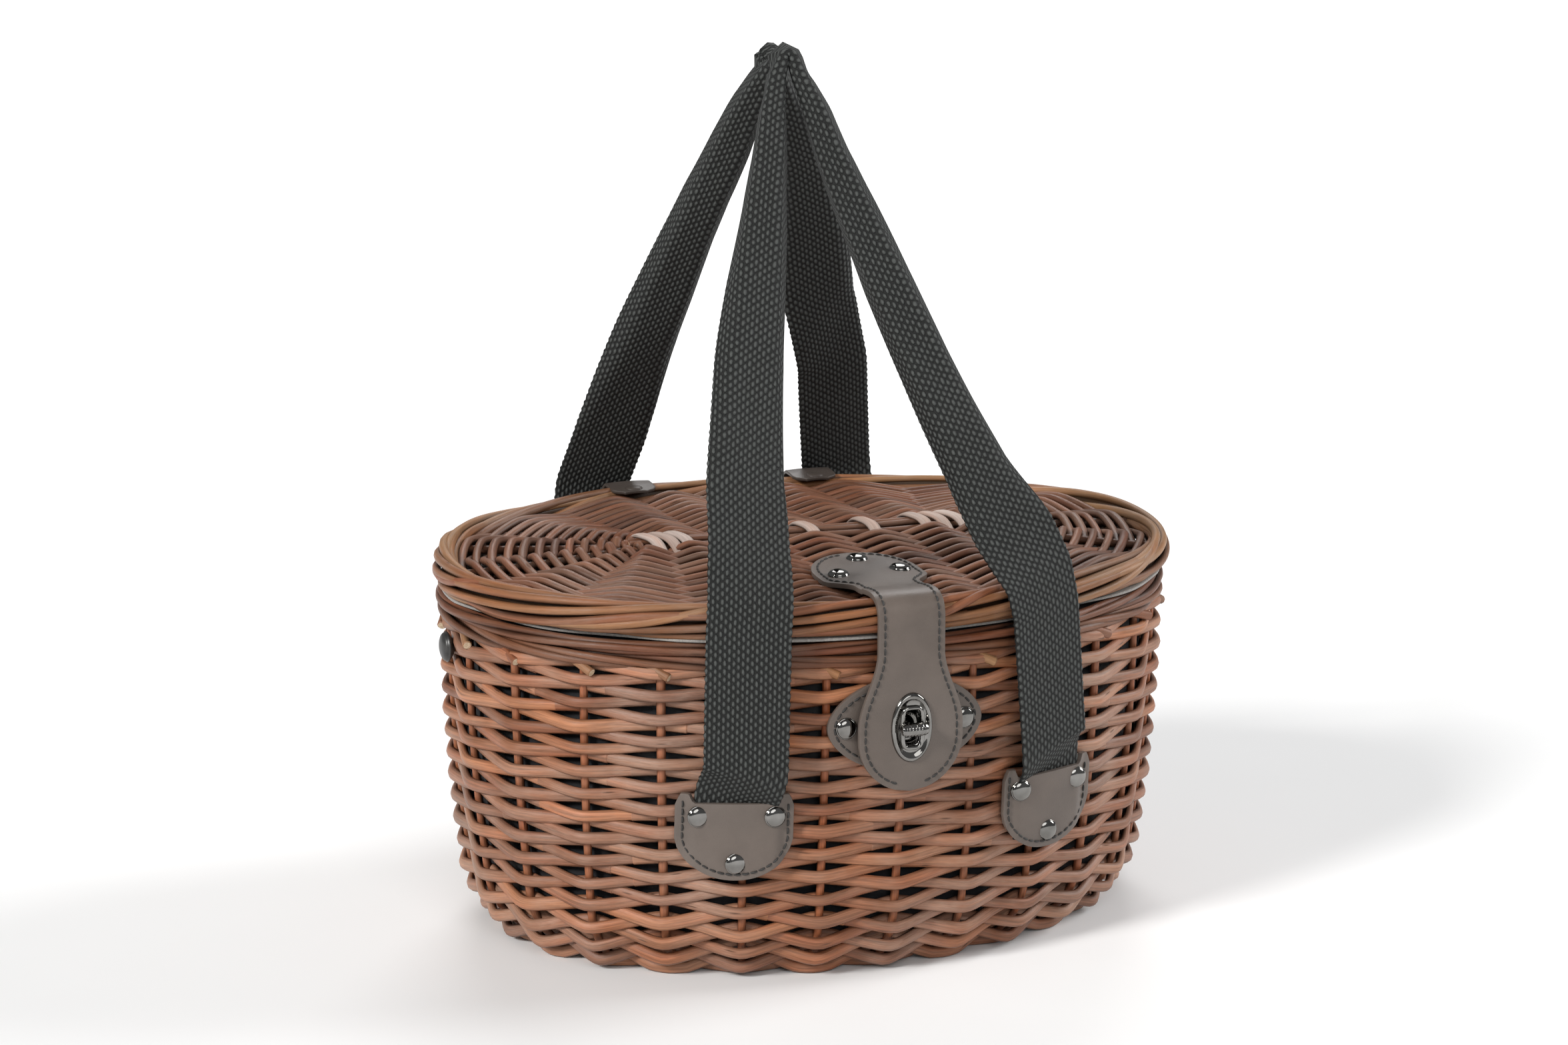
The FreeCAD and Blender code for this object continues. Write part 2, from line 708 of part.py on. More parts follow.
hinge_plane, hinge_width = size("hinge_plane"), size("hinge_width")
tab_bottom_z = size("lid_underside") + 2 * size("lid_border_half_height") + GAP
for x, hand in ((-size("hinge_offset"), "left"), (size("hinge_offset"), "right")):
    over = primitive(
        "Box",
        f"hinge_over_{hand}",
        Width="sizes.hinge_plane + sizes.hinge_thickness - sizes.hinge_tab_inner",
    )
    over.setExpression("Length", "sizes.hinge_width")
    over.setExpression("Height", "sizes.hinge_thickness")
    over.Placement.Base = Vector(x - hinge_width / 2, size("hinge_tab_inner"), tab_bottom_z)
    down = primitive("Box", f"hinge_down_{hand}", Length="sizes.hinge_width", Width="sizes.hinge_thickness")
    down.Height = tab_bottom_z - size("hinge_tab_bottom") + size("hinge_thickness")
    down.Placement.Base = Vector(x - hinge_width / 2, hinge_plane, size("hinge_tab_bottom"))
    tab = doc.addObject("Part::Fuse", f"hinge_tab_{hand}")
    tab.Base = over
    tab.Tool = down
    keep(tab, f"lid_hinge_tab_{hand}")
    drop = primitive("Box", f"hinge_drop_{hand}", Length="sizes.hinge_width", Width="sizes.hinge_thickness")
    drop.setExpression("Height", "sizes.hinge_drop_top - sizes.hinge_drop_bottom")
    drop.Placement.Base = Vector(x - hinge_width / 2, hinge_plane, size("hinge_drop_bottom"))
    keep(drop, f"body_hinge_drop_{hand}")
    face = Vector(x, hinge_plane + size("hinge_thickness"), size("hinge_drop_bottom") + 12)
    lid_face = Vector(x, size("hinge_tab_inner") + 12, tab_bottom_z + size("hinge_thickness"))
    feature(f"body_hinge_rivet_{hand}", rivets([(face, ACROSS)]))
    feature(f"lid_hinge_rivet_{hand}", rivets([(lid_face, UP)]))

# --- Domed buttons at the two ends ---------------------------------------------------------

for end, hand in ((-1, "left"), (1, "right")):
    button = primitive(
        "Cone",
        f"end_button_{hand}",
        Radius1="sizes.button_radius",
        Radius2="sizes.button_radius * 0.6",
        Height="sizes.button_height",
    )
    reach = HALF_LENGTH - wall_inset(size("button_level")) + GAP
    button.Placement = FreeCAD.Placement(
        Vector(end * reach, 0, size("button_level")), Rotation(UP, ALONG * end)
    )
    keep(button, f"end_button_{hand}")

# --- Check and write -----------------------------------------------------------------------

doc.recompute()
for obj in doc.Objects:
    if "Invalid" in obj.State or "Error" in obj.State:
        raise RuntimeError(f"{obj.Label} failed: {obj.State}")
for obj in nodes:
    shape = obj.Shape
    if shape.isNull() or not shape.isValid() or not shape.Solids:
        raise RuntimeError(f"{obj.Label} has no valid solid")
    shape.exportStep(f"parts/{obj.Label}.step")
    print(f"{obj.Label}: {len(shape.Solids)} solids, {shape.Volume / 1000:.1f} cm3")
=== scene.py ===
import json
import math

import bpy
import numpy as np
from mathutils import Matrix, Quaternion, Vector


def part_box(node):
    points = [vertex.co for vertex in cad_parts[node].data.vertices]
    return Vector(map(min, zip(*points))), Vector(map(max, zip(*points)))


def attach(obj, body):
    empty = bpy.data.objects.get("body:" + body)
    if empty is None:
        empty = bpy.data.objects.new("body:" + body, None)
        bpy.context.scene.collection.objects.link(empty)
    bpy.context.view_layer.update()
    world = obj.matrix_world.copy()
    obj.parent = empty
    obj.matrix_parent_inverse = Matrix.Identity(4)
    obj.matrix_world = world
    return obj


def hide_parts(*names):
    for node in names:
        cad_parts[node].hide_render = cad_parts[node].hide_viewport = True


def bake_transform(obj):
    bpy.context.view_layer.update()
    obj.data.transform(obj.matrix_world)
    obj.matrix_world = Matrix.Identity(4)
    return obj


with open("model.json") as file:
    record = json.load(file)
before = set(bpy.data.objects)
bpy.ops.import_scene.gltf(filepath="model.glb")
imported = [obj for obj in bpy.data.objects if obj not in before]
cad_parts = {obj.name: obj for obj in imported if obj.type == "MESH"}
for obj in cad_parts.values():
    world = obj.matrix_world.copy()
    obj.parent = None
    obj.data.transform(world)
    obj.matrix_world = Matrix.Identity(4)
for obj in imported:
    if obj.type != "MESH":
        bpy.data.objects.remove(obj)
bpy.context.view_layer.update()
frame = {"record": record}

# The shapes are worked out in millimetres and turned to metres when each mesh is made.
MM = 0.001
UP = np.array((0.0, 0.0, 1.0))


def corners(node):
    """Lowest and highest corner of a CAD node, in millimetres."""
    low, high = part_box(node)
    return np.array(low) / MM, np.array(high) / MM


def unit(vectors):
    return vectors / np.maximum(np.linalg.norm(vectors, axis=-1, keepdims=True), 1e-9)


def distance_along(path):
    """Distance from the start of a path at each of its points."""
    steps = np.linalg.norm(np.diff(path, axis=0), axis=1)
    return np.concatenate([[0], np.cumsum(steps)])


def sample(where, along, values):
    """Each column of values at those distances along."""
    return np.stack([np.interp(where, along, column) for column in values.T], -1)


def ease(value, low, high):
    """0 below low, 1 above high, smooth between them."""
    t = np.clip((np.asarray(value, float) - low) / (high - low), 0, 1)
    return t * t * (3 - 2 * t)


# --- Plan oval: four tangent arcs, moved inwards by an inset

LID_LOW, LID_HIGH = corners("lid_border")
HALF_LENGTH, HALF_DEPTH = LID_HIGH[0], LID_HIGH[1]
END_RADIUS = 132.0
SIDE_RADIUS = (HALF_LENGTH**2 + HALF_DEPTH**2 - 2 * HALF_LENGTH * END_RADIUS) / (
    2 * (HALF_DEPTH - END_RADIUS)
)
SIDE_CENTRE = SIDE_RADIUS - HALF_DEPTH
END_CENTRE = HALF_LENGTH - END_RADIUS
JUNCTION = math.atan2(END_CENTRE, SIDE_CENTRE)
MEAN_INSET = 6
HALF_SIDE = JUNCTION * (SIDE_RADIUS - MEAN_INSET)
END_ARC = (math.pi - 2 * JUNCTION) * (END_RADIUS - MEAN_INSET)
PERIMETER = 4 * HALF_SIDE + 2 * END_ARC
ARC_STARTS = np.array(
    [0, HALF_SIDE, HALF_SIDE + END_ARC, 3 * HALF_SIDE + END_ARC, 3 * HALF_SIDE + 2 * END_ARC]
)
ARC_ANGLES = np.array([0, JUNCTION, math.pi - JUNCTION, math.pi + JUNCTION, 2 * math.pi - JUNCTION])
ARC_RADII = np.array([SIDE_RADIUS, END_RADIUS, SIDE_RADIUS, END_RADIUS, SIDE_RADIUS])
ARC_X = np.array([0, END_CENTRE, 0, -END_CENTRE, 0])
ARC_Y = np.array([SIDE_CENTRE, 0, -SIDE_CENTRE, 0, SIDE_CENTRE])


def oval(turn, inset):
    """Point (x, y) and outward normal at a share of the way round: 0 is mid front, 0.25 the right end."""
    along = (np.asarray(turn, float) % 1.0) * PERIMETER
    arc = np.searchsorted(ARC_STARTS, along, side="right") - 1
    angle = ARC_ANGLES[arc] + (along - ARC_STARTS[arc]) / (ARC_RADII[arc] - MEAN_INSET)
    normal = np.stack([np.sin(angle), -np.cos(angle)], -1)
    radius = ARC_RADII[arc] - inset
    return np.stack([ARC_X[arc], ARC_Y[arc]], -1) + normal * radius[..., None], normal


def on_oval(turn, inset, z):
    """Point (x, y, z) and flat outward normal on the oval at that inset and height."""
    turn = np.asarray(turn, float)
    point, normal = oval(turn, np.broadcast_to(inset, turn.shape))
    z = np.broadcast_to(z, turn.shape)
    return (
        np.concatenate([point, z[..., None]], -1),
        np.concatenate([normal, np.zeros(turn.shape + (1,))], -1),
    )


def wall_inset(z):
    """How far the outside of the wall lies in from the lid's outline at that height."""
    z = np.asarray(z, float)
    return 4 + 14 * np.maximum(0, 1 - z / 160) ** 2 + 22 * np.maximum(0, 1 - z / 36) ** 2


def wall_point(x, z, offset, side):
    """Point on the long front (side -1) or rear wall, offset outwards from its outside."""
    radius = SIDE_RADIUS - wall_inset(z) + offset
    y = np.sqrt(radius**2 - np.asarray(x, float) ** 2) - SIDE_CENTRE
    return np.stack(np.broadcast_arrays(x, side * y, z), -1).astype(float)


HEIGHTS = np.linspace(1, 170, 340)
SLANT = distance_along(np.stack([wall_inset(HEIGHTS), HEIGHTS], -1))


# --- Meshes

def new_piece(name, points, faces):
    """An object with a mesh of those points, given in millimetres, and faces."""
    mesh = bpy.data.meshes.new(name)
    mesh.from_pydata((points * MM).tolist(), [], faces)
    mesh.update()
    piece = bpy.data.objects.new(name, mesh)
    bpy.context.collection.objects.link(piece)
    return piece


class Shape:
    """Gathers many small shapes into one mesh, with the values that the materials read."""

    def __init__(self, seed=1):
        self.random = np.random.default_rng(seed)
        self.points, self.faces = [], []
        # under carries the painted shade that the willow materials put on each rod's far side
        self.values = {"rod": [], "grain": [], "cut": [], "under": []}
        self.count = 0

    def add(self, points, faces, rod=0.0, grain=None, cut=0.0, under=0.0):
        points = np.asarray(points, float).reshape(-1, 3)
        number = len(points)
        self.points.append(points)
        for face in faces:
            if len(face):
                self.faces.append(np.asarray(face) + self.count)
        self.values["rod"].append(np.broadcast_to(rod, (number,)))
        self.values["cut"].append(np.broadcast_to(cut, (number,)))
        self.values["under"].append(np.broadcast_to(under, (number,)))
        self.values["grain"].append(points if grain is None else np.asarray(grain).reshape(-1, 3))
        self.count += number

    def build(self, name, material, smooth=True):
        faces = [row for block in self.faces for row in block.tolist()]
        piece = new_piece(name, np.concatenate(self.points), faces)
        mesh = piece.data
        for key in ("rod", "cut", "under", "grain"):
            kind, field = ("FLOAT_VECTOR", "vector") if key == "grain" else ("FLOAT", "value")
            data = np.concatenate(self.values[key]).astype(np.float32)
            mesh.attributes.new(key, kind, "POINT").data.foreach_set(field, data.ravel())
        mesh.polygons.foreach_set("use_smooth", [smooth] * len(mesh.polygons))
        mesh.materials.append(material)
        mesh.update()
        return piece


def grid_faces(rows, columns, wrap_rows=False, wrap_columns=False):
    """Quads over a grid of points, row by row."""
    i = np.arange(rows if wrap_rows else rows - 1)
    j = np.arange(columns if wrap_columns else columns - 1)
    i, j = np.meshgrid(i, j, indexing="ij")
    below, beside = (i + 1) % rows, (j + 1) % columns
    quads = [i * columns + j, i * columns + beside, below * columns + beside, below * columns + j]
    return np.stack([q.ravel() for q in quads], -1)


def tube(shape, path, radius, across, sides=8, flat=1.0, closed=False, cut=1.0, rod=None, under=None):
    """A rod along a path. across is the direction that flat thins it in; cut colours its ends."""
    path = np.asarray(path, float)
    number = len(path)
    radius = np.broadcast_to(radius, (number,)).astype(float)
    across = np.broadcast_to(across, (number, 3))
    if closed:
        forward = unit(np.roll(path, -1, 0) - np.roll(path, 1, 0))
    else:
        forward = unit(np.gradient(path, axis=0))
    side = unit(np.cross(forward, across))
    up = np.cross(side, forward)
    angle = np.arange(sides) * 2 * math.pi / sides
    ring = up[:, None] * np.cos(angle)[None, :, None] * flat + side[:, None] * np.sin(angle)[None, :, None]
    length = distance_along(path)
    rod = shape.random.random() if rod is None else rod
    start = shape.random.random() * 900
    grain = np.stack(
        np.broadcast_arrays(
            length[:, None] + start,
            np.cos(angle)[None] * radius[:, None] + rod * 70,
            np.sin(angle)[None] * radius[:, None],
        ),
        -1,
    )
    # under, read by the willow materials as painted shade, is how far each point faces away from across
    shape.add(
        path[:, None] + ring * radius[:, None, None],
        [grid_faces(number, sides, closed, True)],
        rod,
        grain,
        under=np.tile(0.5 - 0.5 * np.cos(angle), number) if under is None else under,
    )
    if closed:
        return
    for end, sign in ((0, -1), (-1, 1)):
        rim = path[end] + ring[end] * radius[end]
        lip = path[end] + ring[end] * radius[end] * 0.82 + forward[end] * sign * radius[end] * 0.22
        middle = path[end] + forward[end] * sign * radius[end] * 0.26
        j = np.arange(sides)
        beside = (j + 1) % sides
        band = np.stack([j, beside, beside + sides, j + sides], -1)
        fan = np.stack([j, beside, np.full(sides, sides)], -1)
        if sign < 0:
            band, fan = band[:, ::-1], fan[:, ::-1]
        shape.add(np.concatenate([rim, lip]), [band], rod, np.concatenate([grain[end]] * 2))
        shape.add(
            np.concatenate([lip, [middle]]), [fan], rod, np.concatenate([grain[end], grain[end][:1]]), cut
        )


def lathe(shape, profile, centre, axis, sides=24, flutes=0, depth=0.0):
    """A turned shape: profile is (radius, height along axis) from one end to the other."""
    axis = unit(np.asarray(axis, float))
    first = unit(np.cross(axis, UP if abs(axis[2]) < 0.9 else np.array((1.0, 0, 0))))
    second = np.cross(axis, first)
    angle = np.arange(sides) * 2 * math.pi / sides
    profile = np.asarray(profile, float)
    ridges = 1 + depth * np.cos(flutes * angle)[None] * (profile[:, :1] > 0.6 * profile[:, 0].max())
    ring = first * np.cos(angle)[:, None] + second * np.sin(angle)[:, None]
    points = (
        np.asarray(centre, float)
        + ring[None] * (profile[:, :1] * ridges)[..., None]
        + (axis * profile[:, 1:2])[:, None]
    )
    shape.add(points, [grid_faces(len(profile), sides, False, True)])


def chevron(t):
    """+1 at even whole t, -1 at odd, nearly straight between."""
    return np.arcsin(0.96 * np.cos(math.pi * t)) / math.asin(0.96)


def woven_ring(shape, place, crossings, parity, radius, samples=10, sides=8, flat=1.0, rods=2):
    """One row of weave as a few rods whose ends tuck behind a stake. place(t) gives points, across."""
    starts = np.sort(shape.random.choice(crossings // 2, rods, replace=False)) * 2 + (1 - parity)
    for index, start in enumerate(starts):
        stop = starts[(index + 1) % rods] + (crossings if index == rods - 1 else 0)
        t = np.linspace(start - 0.35, stop + 0.35, int((stop - start + 0.7) * samples))
        points, across = place(t)
        taper = 1 + 0.05 * np.sin(t * 0.37 + start)
        size = radius * (1 + 0.06 * shape.random.normal()) * taper
        tube(shape, points, size, across, sides, flat, cut=0.6)


def solid_sheet(name, points, material, thickness, keep=None, rim=0.45):
    """A sheet of even thickness about a grid of mid-points, with eased edges."""
    rows, columns = points.shape[:2]
    quads = grid_faces(rows, columns)
    if keep is not None:
        middle = points.reshape(-1, 3)[quads].mean(1)
        quads = quads[keep(middle)]
    piece = new_piece(name, points.reshape(-1, 3), quads.tolist())
    weld = piece.modifiers.new("weld", "WELD")
    weld.merge_threshold = 0.02 * MM
    thick = piece.modifiers.new("thick", "SOLIDIFY")
    thick.thickness = thickness * MM
    thick.offset = 0
    if rim:
        ease_edges = piece.modifiers.new("rim", "BEVEL")
        ease_edges.width = rim * MM
        ease_edges.segments = 2
        ease_edges.limit_method = "ANGLE"
        ease_edges.angle_limit = math.radians(50)
    return set_shape(piece, material)


def set_shape(piece, material):
    """Applies the piece's modifiers and gives it a smooth finish in one material."""
    graph = bpy.context.evaluated_depsgraph_get()
    final = bpy.data.meshes.new_from_object(piece.evaluated_get(graph))
    piece.modifiers.clear()
    piece.data = final
    final.materials.clear()
    final.materials.append(material)
    final.polygons.foreach_set("use_smooth", [True] * len(final.polygons))
    return piece


def surface_normals(points):
    """Unit normals of a grid of points."""
    return unit(np.cross(np.gradient(points, axis=1), np.gradient(points, axis=0)))


def stitches(shape, line, normals, pitch=4.2, length=3.0, radius=0.56):
    """A row of sewn stitches along a line that lies on a surface."""
    along = distance_along(line)
    for start in np.arange(0.5, along[-1] - length, pitch):
        where = np.linspace(start, start + length, 5)
        points = sample(where, along, line)
        out = unit(sample(where, along, normals))
        arch = np.array([-0.35, 0.12, 0.25, 0.12, -0.35])[:, None]
        tube(shape, points + out * arch, radius, out, 6, cut=0.0)


# --- Materials

THREAD_COLUMN, THREAD_ROW = 2.26, 4.1


class Nodes:
    """Short names for building a material's node tree."""

    def __init__(self, name):
        self.material = bpy.data.materials.new(name)
        self.material.use_nodes = True
        self.tree = self.material.node_tree
        self.shader = self.tree.nodes["Principled BSDF"]

    def new(self, kind, inputs=(), **settings):
        node = self.tree.nodes.new(kind)
        for key, value in settings.items():
            setattr(node, key, value)
        for socket, value in dict(inputs).items():
            self.put(node.inputs[socket], value)
        return node

    def put(self, socket, value):
        if isinstance(value, bpy.types.NodeSocket):
            self.tree.links.new(value, socket)
        else:
            socket.default_value = value

    def math(self, operation, first, second=0.0, clamp=False):
        return self.new(
            "ShaderNodeMath", {0: first, 1: second}, operation=operation, use_clamp=clamp
        ).outputs[0]

    def times(self, first, second):
        return self.math("MULTIPLY", first, second)

    def cells(self, vector, scale):
        inputs = {"Vector": vector, "Scale": scale}
        return self.new("ShaderNodeTexVoronoi", inputs).outputs["Distance"]

    def shaded(self, colour, shade):
        """The colour times a grey."""
        grey = self.new("ShaderNodeCombineColor", {0: shade, 1: shade, 2: shade}).outputs[0]
        return self.mix(1.0, colour, grey, "MULTIPLY")

    def value(self, name, output="Fac"):
        return self.new("ShaderNodeAttribute", attribute_name=name).outputs[output]

    def scaled(self, vector, scale):
        return self.new(
            "ShaderNodeVectorMath", {0: vector, 1: scale}, operation="MULTIPLY"
        ).outputs[0]

    def place(self):
        return self.new("ShaderNodeTexCoord").outputs["Object"]

    def noise(self, vector, scale, detail=4.0, roughness=0.55):
        """Noise at one scale, or at a scale for each axis."""
        if isinstance(scale, tuple):
            vector, scale = self.scaled(vector, scale), 1.0
        return self.new(
            "ShaderNodeTexNoise",
            {"Vector": vector, "Scale": scale, "Detail": detail, "Roughness": roughness},
        ).outputs["Fac"]

    def ramp(self, value, stops):
        node = self.new("ShaderNodeValToRGB", {0: value})
        band = node.color_ramp
        while len(band.elements) < len(stops):
            band.elements.new(0.5)
        for element, (place, colour) in zip(band.elements, stops):
            element.position = place
            element.color = (*colour, 1) if len(colour) == 3 else colour
        return node.outputs["Color"]

    def grey(self, value, low, high, dark, bright):
        return self.new(
            "ShaderNodeMapRange",
            {0: value, 1: low, 2: high, 3: dark, 4: bright},
        ).outputs[0]

    def mix(self, share, first, second, blend="MIX"):
        node = self.new("ShaderNodeMix", data_type="RGBA", blend_type=blend)
        self.put(node.inputs[0], share)
        self.put(node.inputs[6], (*first, 1) if isinstance(first, tuple) else first)
        self.put(node.inputs[7], (*second, 1) if isinstance(second, tuple) else second)
        return node.outputs[2]

    def bumps(self, *layers):
        """Stacks (height, strength, distance in mm) layers into one normal."""
        normal = None
        for height, strength, distance in layers:
            inputs = {"Height": height, "Strength": strength, "Distance": distance * MM}
            if normal is not None:
                inputs["Normal"] = normal
            normal = self.new("ShaderNodeBump", inputs).outputs[0]
        self.put(self.shader.inputs["Normal"], normal)

    def finish(self, colour, roughness, **sockets):
        self.put(self.shader.inputs["Base Color"], colour)
        self.put(self.shader.inputs["Roughness"], roughness)
        for name, value in sockets.items():
            self.put(self.shader.inputs[name.replace("_", " ")], value)
        return self.material


def willow(name, tones, streak=0.35, grey=0.35, gloss=0.41):
    """Willow rods: a tone for each rod, streaks along it, knots, painted shade on each rod's side facing away
    from its across direction, grey weathering that doubles as painted highlights on the other side, and pale
    cut ends.
    """
    n = Nodes(name)
    rod, grain, cut = n.value("rod"), n.value("grain", "Vector"), n.value("cut")
    tone = n.ramp(rod, [(i / (len(tones) - 1), tone) for i, tone in enumerate(tones)])
    long_streaks = n.noise(grain, (0.035, 0.9, 0.9), 5.0, 0.6)
    fine_streaks = n.noise(grain, (0.16, 3.6, 3.6), 3.0, 0.6)
    patches = n.noise(grain, (0.022, 0.15, 0.15), 3.0, 0.5)
    shade = n.grey(long_streaks, 0.3, 0.72, 1 - streak, 1 + streak * 0.55)
    shade = n.times(shade, n.grey(fine_streaks, 0.3, 0.7, 0.88, 1.1))
    # painted shade: each rod is darkened by its under value, on the side facing away from its across
    # direction (underside of lid and base rods, inner side of wall and border rods)
    shade = n.times(shade, n.grey(n.value("under"), 0.18, 0.75, 1.0, 0.14))
    colour = n.shaded(tone, shade)
    ruddy = n.grey(patches, 0.45, 0.7, 0.0, 0.55)
    colour = n.mix(ruddy, colour, n.mix(1.0, colour, (1.18, 0.86, 0.7), "MULTIPLY"))
    # pale grey patches, partly real weathering and partly painted highlight: kept to the rods' outward and
    # upper faces
    dust_and_highlight_patches = n.noise(n.place(), 14.0, 4.0, 0.6)
    weathering_and_highlight = n.times(n.grey(dust_and_highlight_patches, 0.42, 0.72, 0.0, grey), n.grey(fine_streaks, 0.35, 0.6, 0.4, 1.0))
    weathering_and_highlight = n.times(weathering_and_highlight, n.grey(n.value("under"), 0.2, 0.6, 1.0, 0.0))
    colour = n.mix(weathering_and_highlight, colour, (0.42, 0.33, 0.27))
    knots = n.cells(n.scaled(grain, (0.028, 0.22, 0.22)), 1.0)
    knot = n.grey(knots, 0.03, 0.11, 1.0, 0.0)
    colour = n.mix(n.times(knot, 0.75), colour, (0.06, 0.03, 0.018))
    pith = n.ramp(n.noise(grain, (1.2, 1.2, 1.2)), [(0.35, (0.42, 0.3, 0.19)), (0.7, (0.72, 0.58, 0.42))])
    colour = n.mix(cut, colour, pith)
    n.bumps((long_streaks, 0.35, 0.5), (fine_streaks, 0.4, 0.25), (knot, 0.5, 0.6))
    rough = n.grey(fine_streaks, 0.3, 0.7, gloss - 0.08, gloss + 0.14)
    return n.finish(colour, rough, Specular_IOR_Level=0.28)


def webbing_cloth():
    """Coarse charcoal webbing: staggered columns of raised threads, read from the strap's own grid, coloured
    dark in the gaps as painted shade and pale on the thread tops as painted highlights.
    """
    n = Nodes("webbing")
    grain = n.value("grain", "Vector")
    parts = n.new("ShaderNodeSeparateXYZ", {0: grain})
    column = n.math("DIVIDE", parts.outputs[0], THREAD_COLUMN)
    number = n.math("FLOOR", column)
    step = n.times(n.math("MODULO", n.math("ABSOLUTE", number), 2.0), 0.5)
    wobble = n.grey(n.noise(grain, (0.3, 0.3, 0.3), 2.0), 0.2, 0.8, -0.16, 0.16)
    row = n.math("ADD", n.math("ADD", n.math("DIVIDE", parts.outputs[1], THREAD_ROW), step), wobble)
    x = n.math("SUBTRACT", n.math("FRACT", column), 0.5)
    y = n.math("SUBTRACT", n.math("FRACT", row), 0.5)
    distance = n.math("ADD", n.times(n.math("POWER", n.math("ABSOLUTE", x), 2.0), 4.4),
                      n.times(n.math("POWER", n.math("ABSOLUTE", y), 2.0), 5.0))
    height = n.math("SQRT", n.math("SUBTRACT", 1.0, distance, clamp=True))
    threads = n.noise(grain, (5.0, 1.6, 1.0), 3.0, 0.6)
    fuzz = n.noise(n.place(), 900.0, 3.0, 0.7)
    # painted light: the colour follows the thread height, dark in the gaps as painted shade and pale on the
    # tops as painted highlight
    body = n.ramp(
        height,
        [(0.0, (0.009, 0.0096, 0.009)), (0.5, (0.02, 0.0213, 0.0204)), (0.95, (0.07, 0.0745, 0.071))],
    )
    shade = n.grey(threads, 0.3, 0.72, 0.62, 1.35)
    colour = n.shaded(body, shade)
    colour = n.mix(n.grey(fuzz, 0.6, 0.85, 0.0, 0.35), colour, (0.11, 0.114, 0.11))
    n.bumps((height, 1.0, 1.6), (threads, 0.35, 0.3))
    return n.finish(colour, n.grey(threads, 0.3, 0.7, 0.62, 0.85), Specular_IOR_Level=0.3)


def leather_skin(name, base, worn):
    """Smooth leather with a fine pebble, soft mottling and paler wear."""
    n = Nodes(name)
    place = n.place()
    mottle = n.noise(place, 38.0, 4.0, 0.6)
    wear = n.noise(place, 11.0, 3.0, 0.5)
    pebble = n.cells(place, 1400.0)
    pores = n.noise(place, 2600.0, 2.0, 0.5)
    colour = n.ramp(mottle, [(0.3, tuple(0.84 * c for c in base)), (0.7, tuple(1.12 * c for c in base))])
    colour = n.mix(n.grey(wear, 0.5, 0.75, 0.0, 0.4), colour, worn)
    colour = n.mix(n.grey(pores, 0.62, 0.75, 0.0, 0.35), colour, tuple(0.5 * c for c in base))
    n.bumps((mottle, 0.15, 0.6), (pebble, 0.25, 0.15), (pores, 0.15, 0.1))
    return n.finish(colour, n.grey(mottle, 0.3, 0.7, 0.36, 0.5), Specular_IOR_Level=0.35)


def thread_cloth():
    n = Nodes("stitching")
    grain = n.value("grain", "Vector")
    twist = n.noise(grain, (3.0, 2.0, 2.0), 2.0)
    colour = n.ramp(twist, [(0.35, (0.012, 0.011, 0.01)), (0.7, (0.04, 0.036, 0.033))])
    n.bumps((twist, 0.5, 0.15))
    return n.finish(colour, n.grey(twist, 0.3, 0.7, 0.55, 0.7))


def nickel_metal(name="nickel"):
    """Polished nickel with faint scratches and a little dulling."""
    n = Nodes(name)
    place = n.place()
    scratches = n.noise(place, (2200.0, 180.0, 600.0), 3.0, 0.6)
    dull = n.noise(place, 90.0, 3.0, 0.6)
    colour = n.ramp(dull, [(0.3, (0.17, 0.165, 0.155)), (0.7, (0.27, 0.262, 0.25))])
    n.bumps((scratches, 0.04, 0.05))
    rough = n.math("ADD", n.grey(dull, 0.3, 0.75, 0.05, 0.11), n.grey(scratches, 0.55, 0.8, 0.0, 0.08))
    return n.finish(colour, rough, Metallic=1.0)


def button_skin():
    n = Nodes("dark_button")
    place = n.place()
    mottle = n.noise(place, 160.0, 4.0, 0.6)
    colour = n.ramp(mottle, [(0.3, (0.012, 0.012, 0.012)), (0.75, (0.05, 0.048, 0.045))])
    n.bumps((mottle, 0.3, 0.3))
    return n.finish(colour, n.grey(mottle, 0.3, 0.7, 0.28, 0.45))


def lining_skin():
    """Near-black coated cloth: a fine plain weave under a slight, uneven shine."""
    n = Nodes("lining_cloth")
    place = n.place()
    weave = n.cells(place, 1500.0)
    creases = n.noise(place, (30.0, 30.0, 12.0), 4.0, 0.55)
    colour = n.ramp(creases, [(0.3, (0.012, 0.012, 0.014)), (0.75, (0.035, 0.035, 0.038))])
    n.bumps((creases, 0.5, 2.5), (weave, 0.3, 0.2))
    return n.finish(colour, n.grey(creases, 0.3, 0.7, 0.3, 0.5), Sheen_Weight=0.1)


def felt_skin():
    """Pale felted liner with loose fibres and grey soiling."""
    n = Nodes("lid_pad_cloth")
    place = n.place()
    fibres = n.noise(place, 700.0, 5.0, 0.75)
    soil = n.noise(place, 22.0, 4.0, 0.6)
    colour = n.ramp(fibres, [(0.3, (0.2, 0.185, 0.17)), (0.7, (0.42, 0.4, 0.37))])
    colour = n.mix(n.grey(soil, 0.45, 0.7, 0.0, 0.5), colour, (0.3, 0.28, 0.27))
    n.bumps((fibres, 0.9, 0.8), (soil, 0.3, 1.5))
    return n.finish(colour, n.grey(fibres, 0.3, 0.7, 0.85, 0.97), Sheen_Weight=0.3)


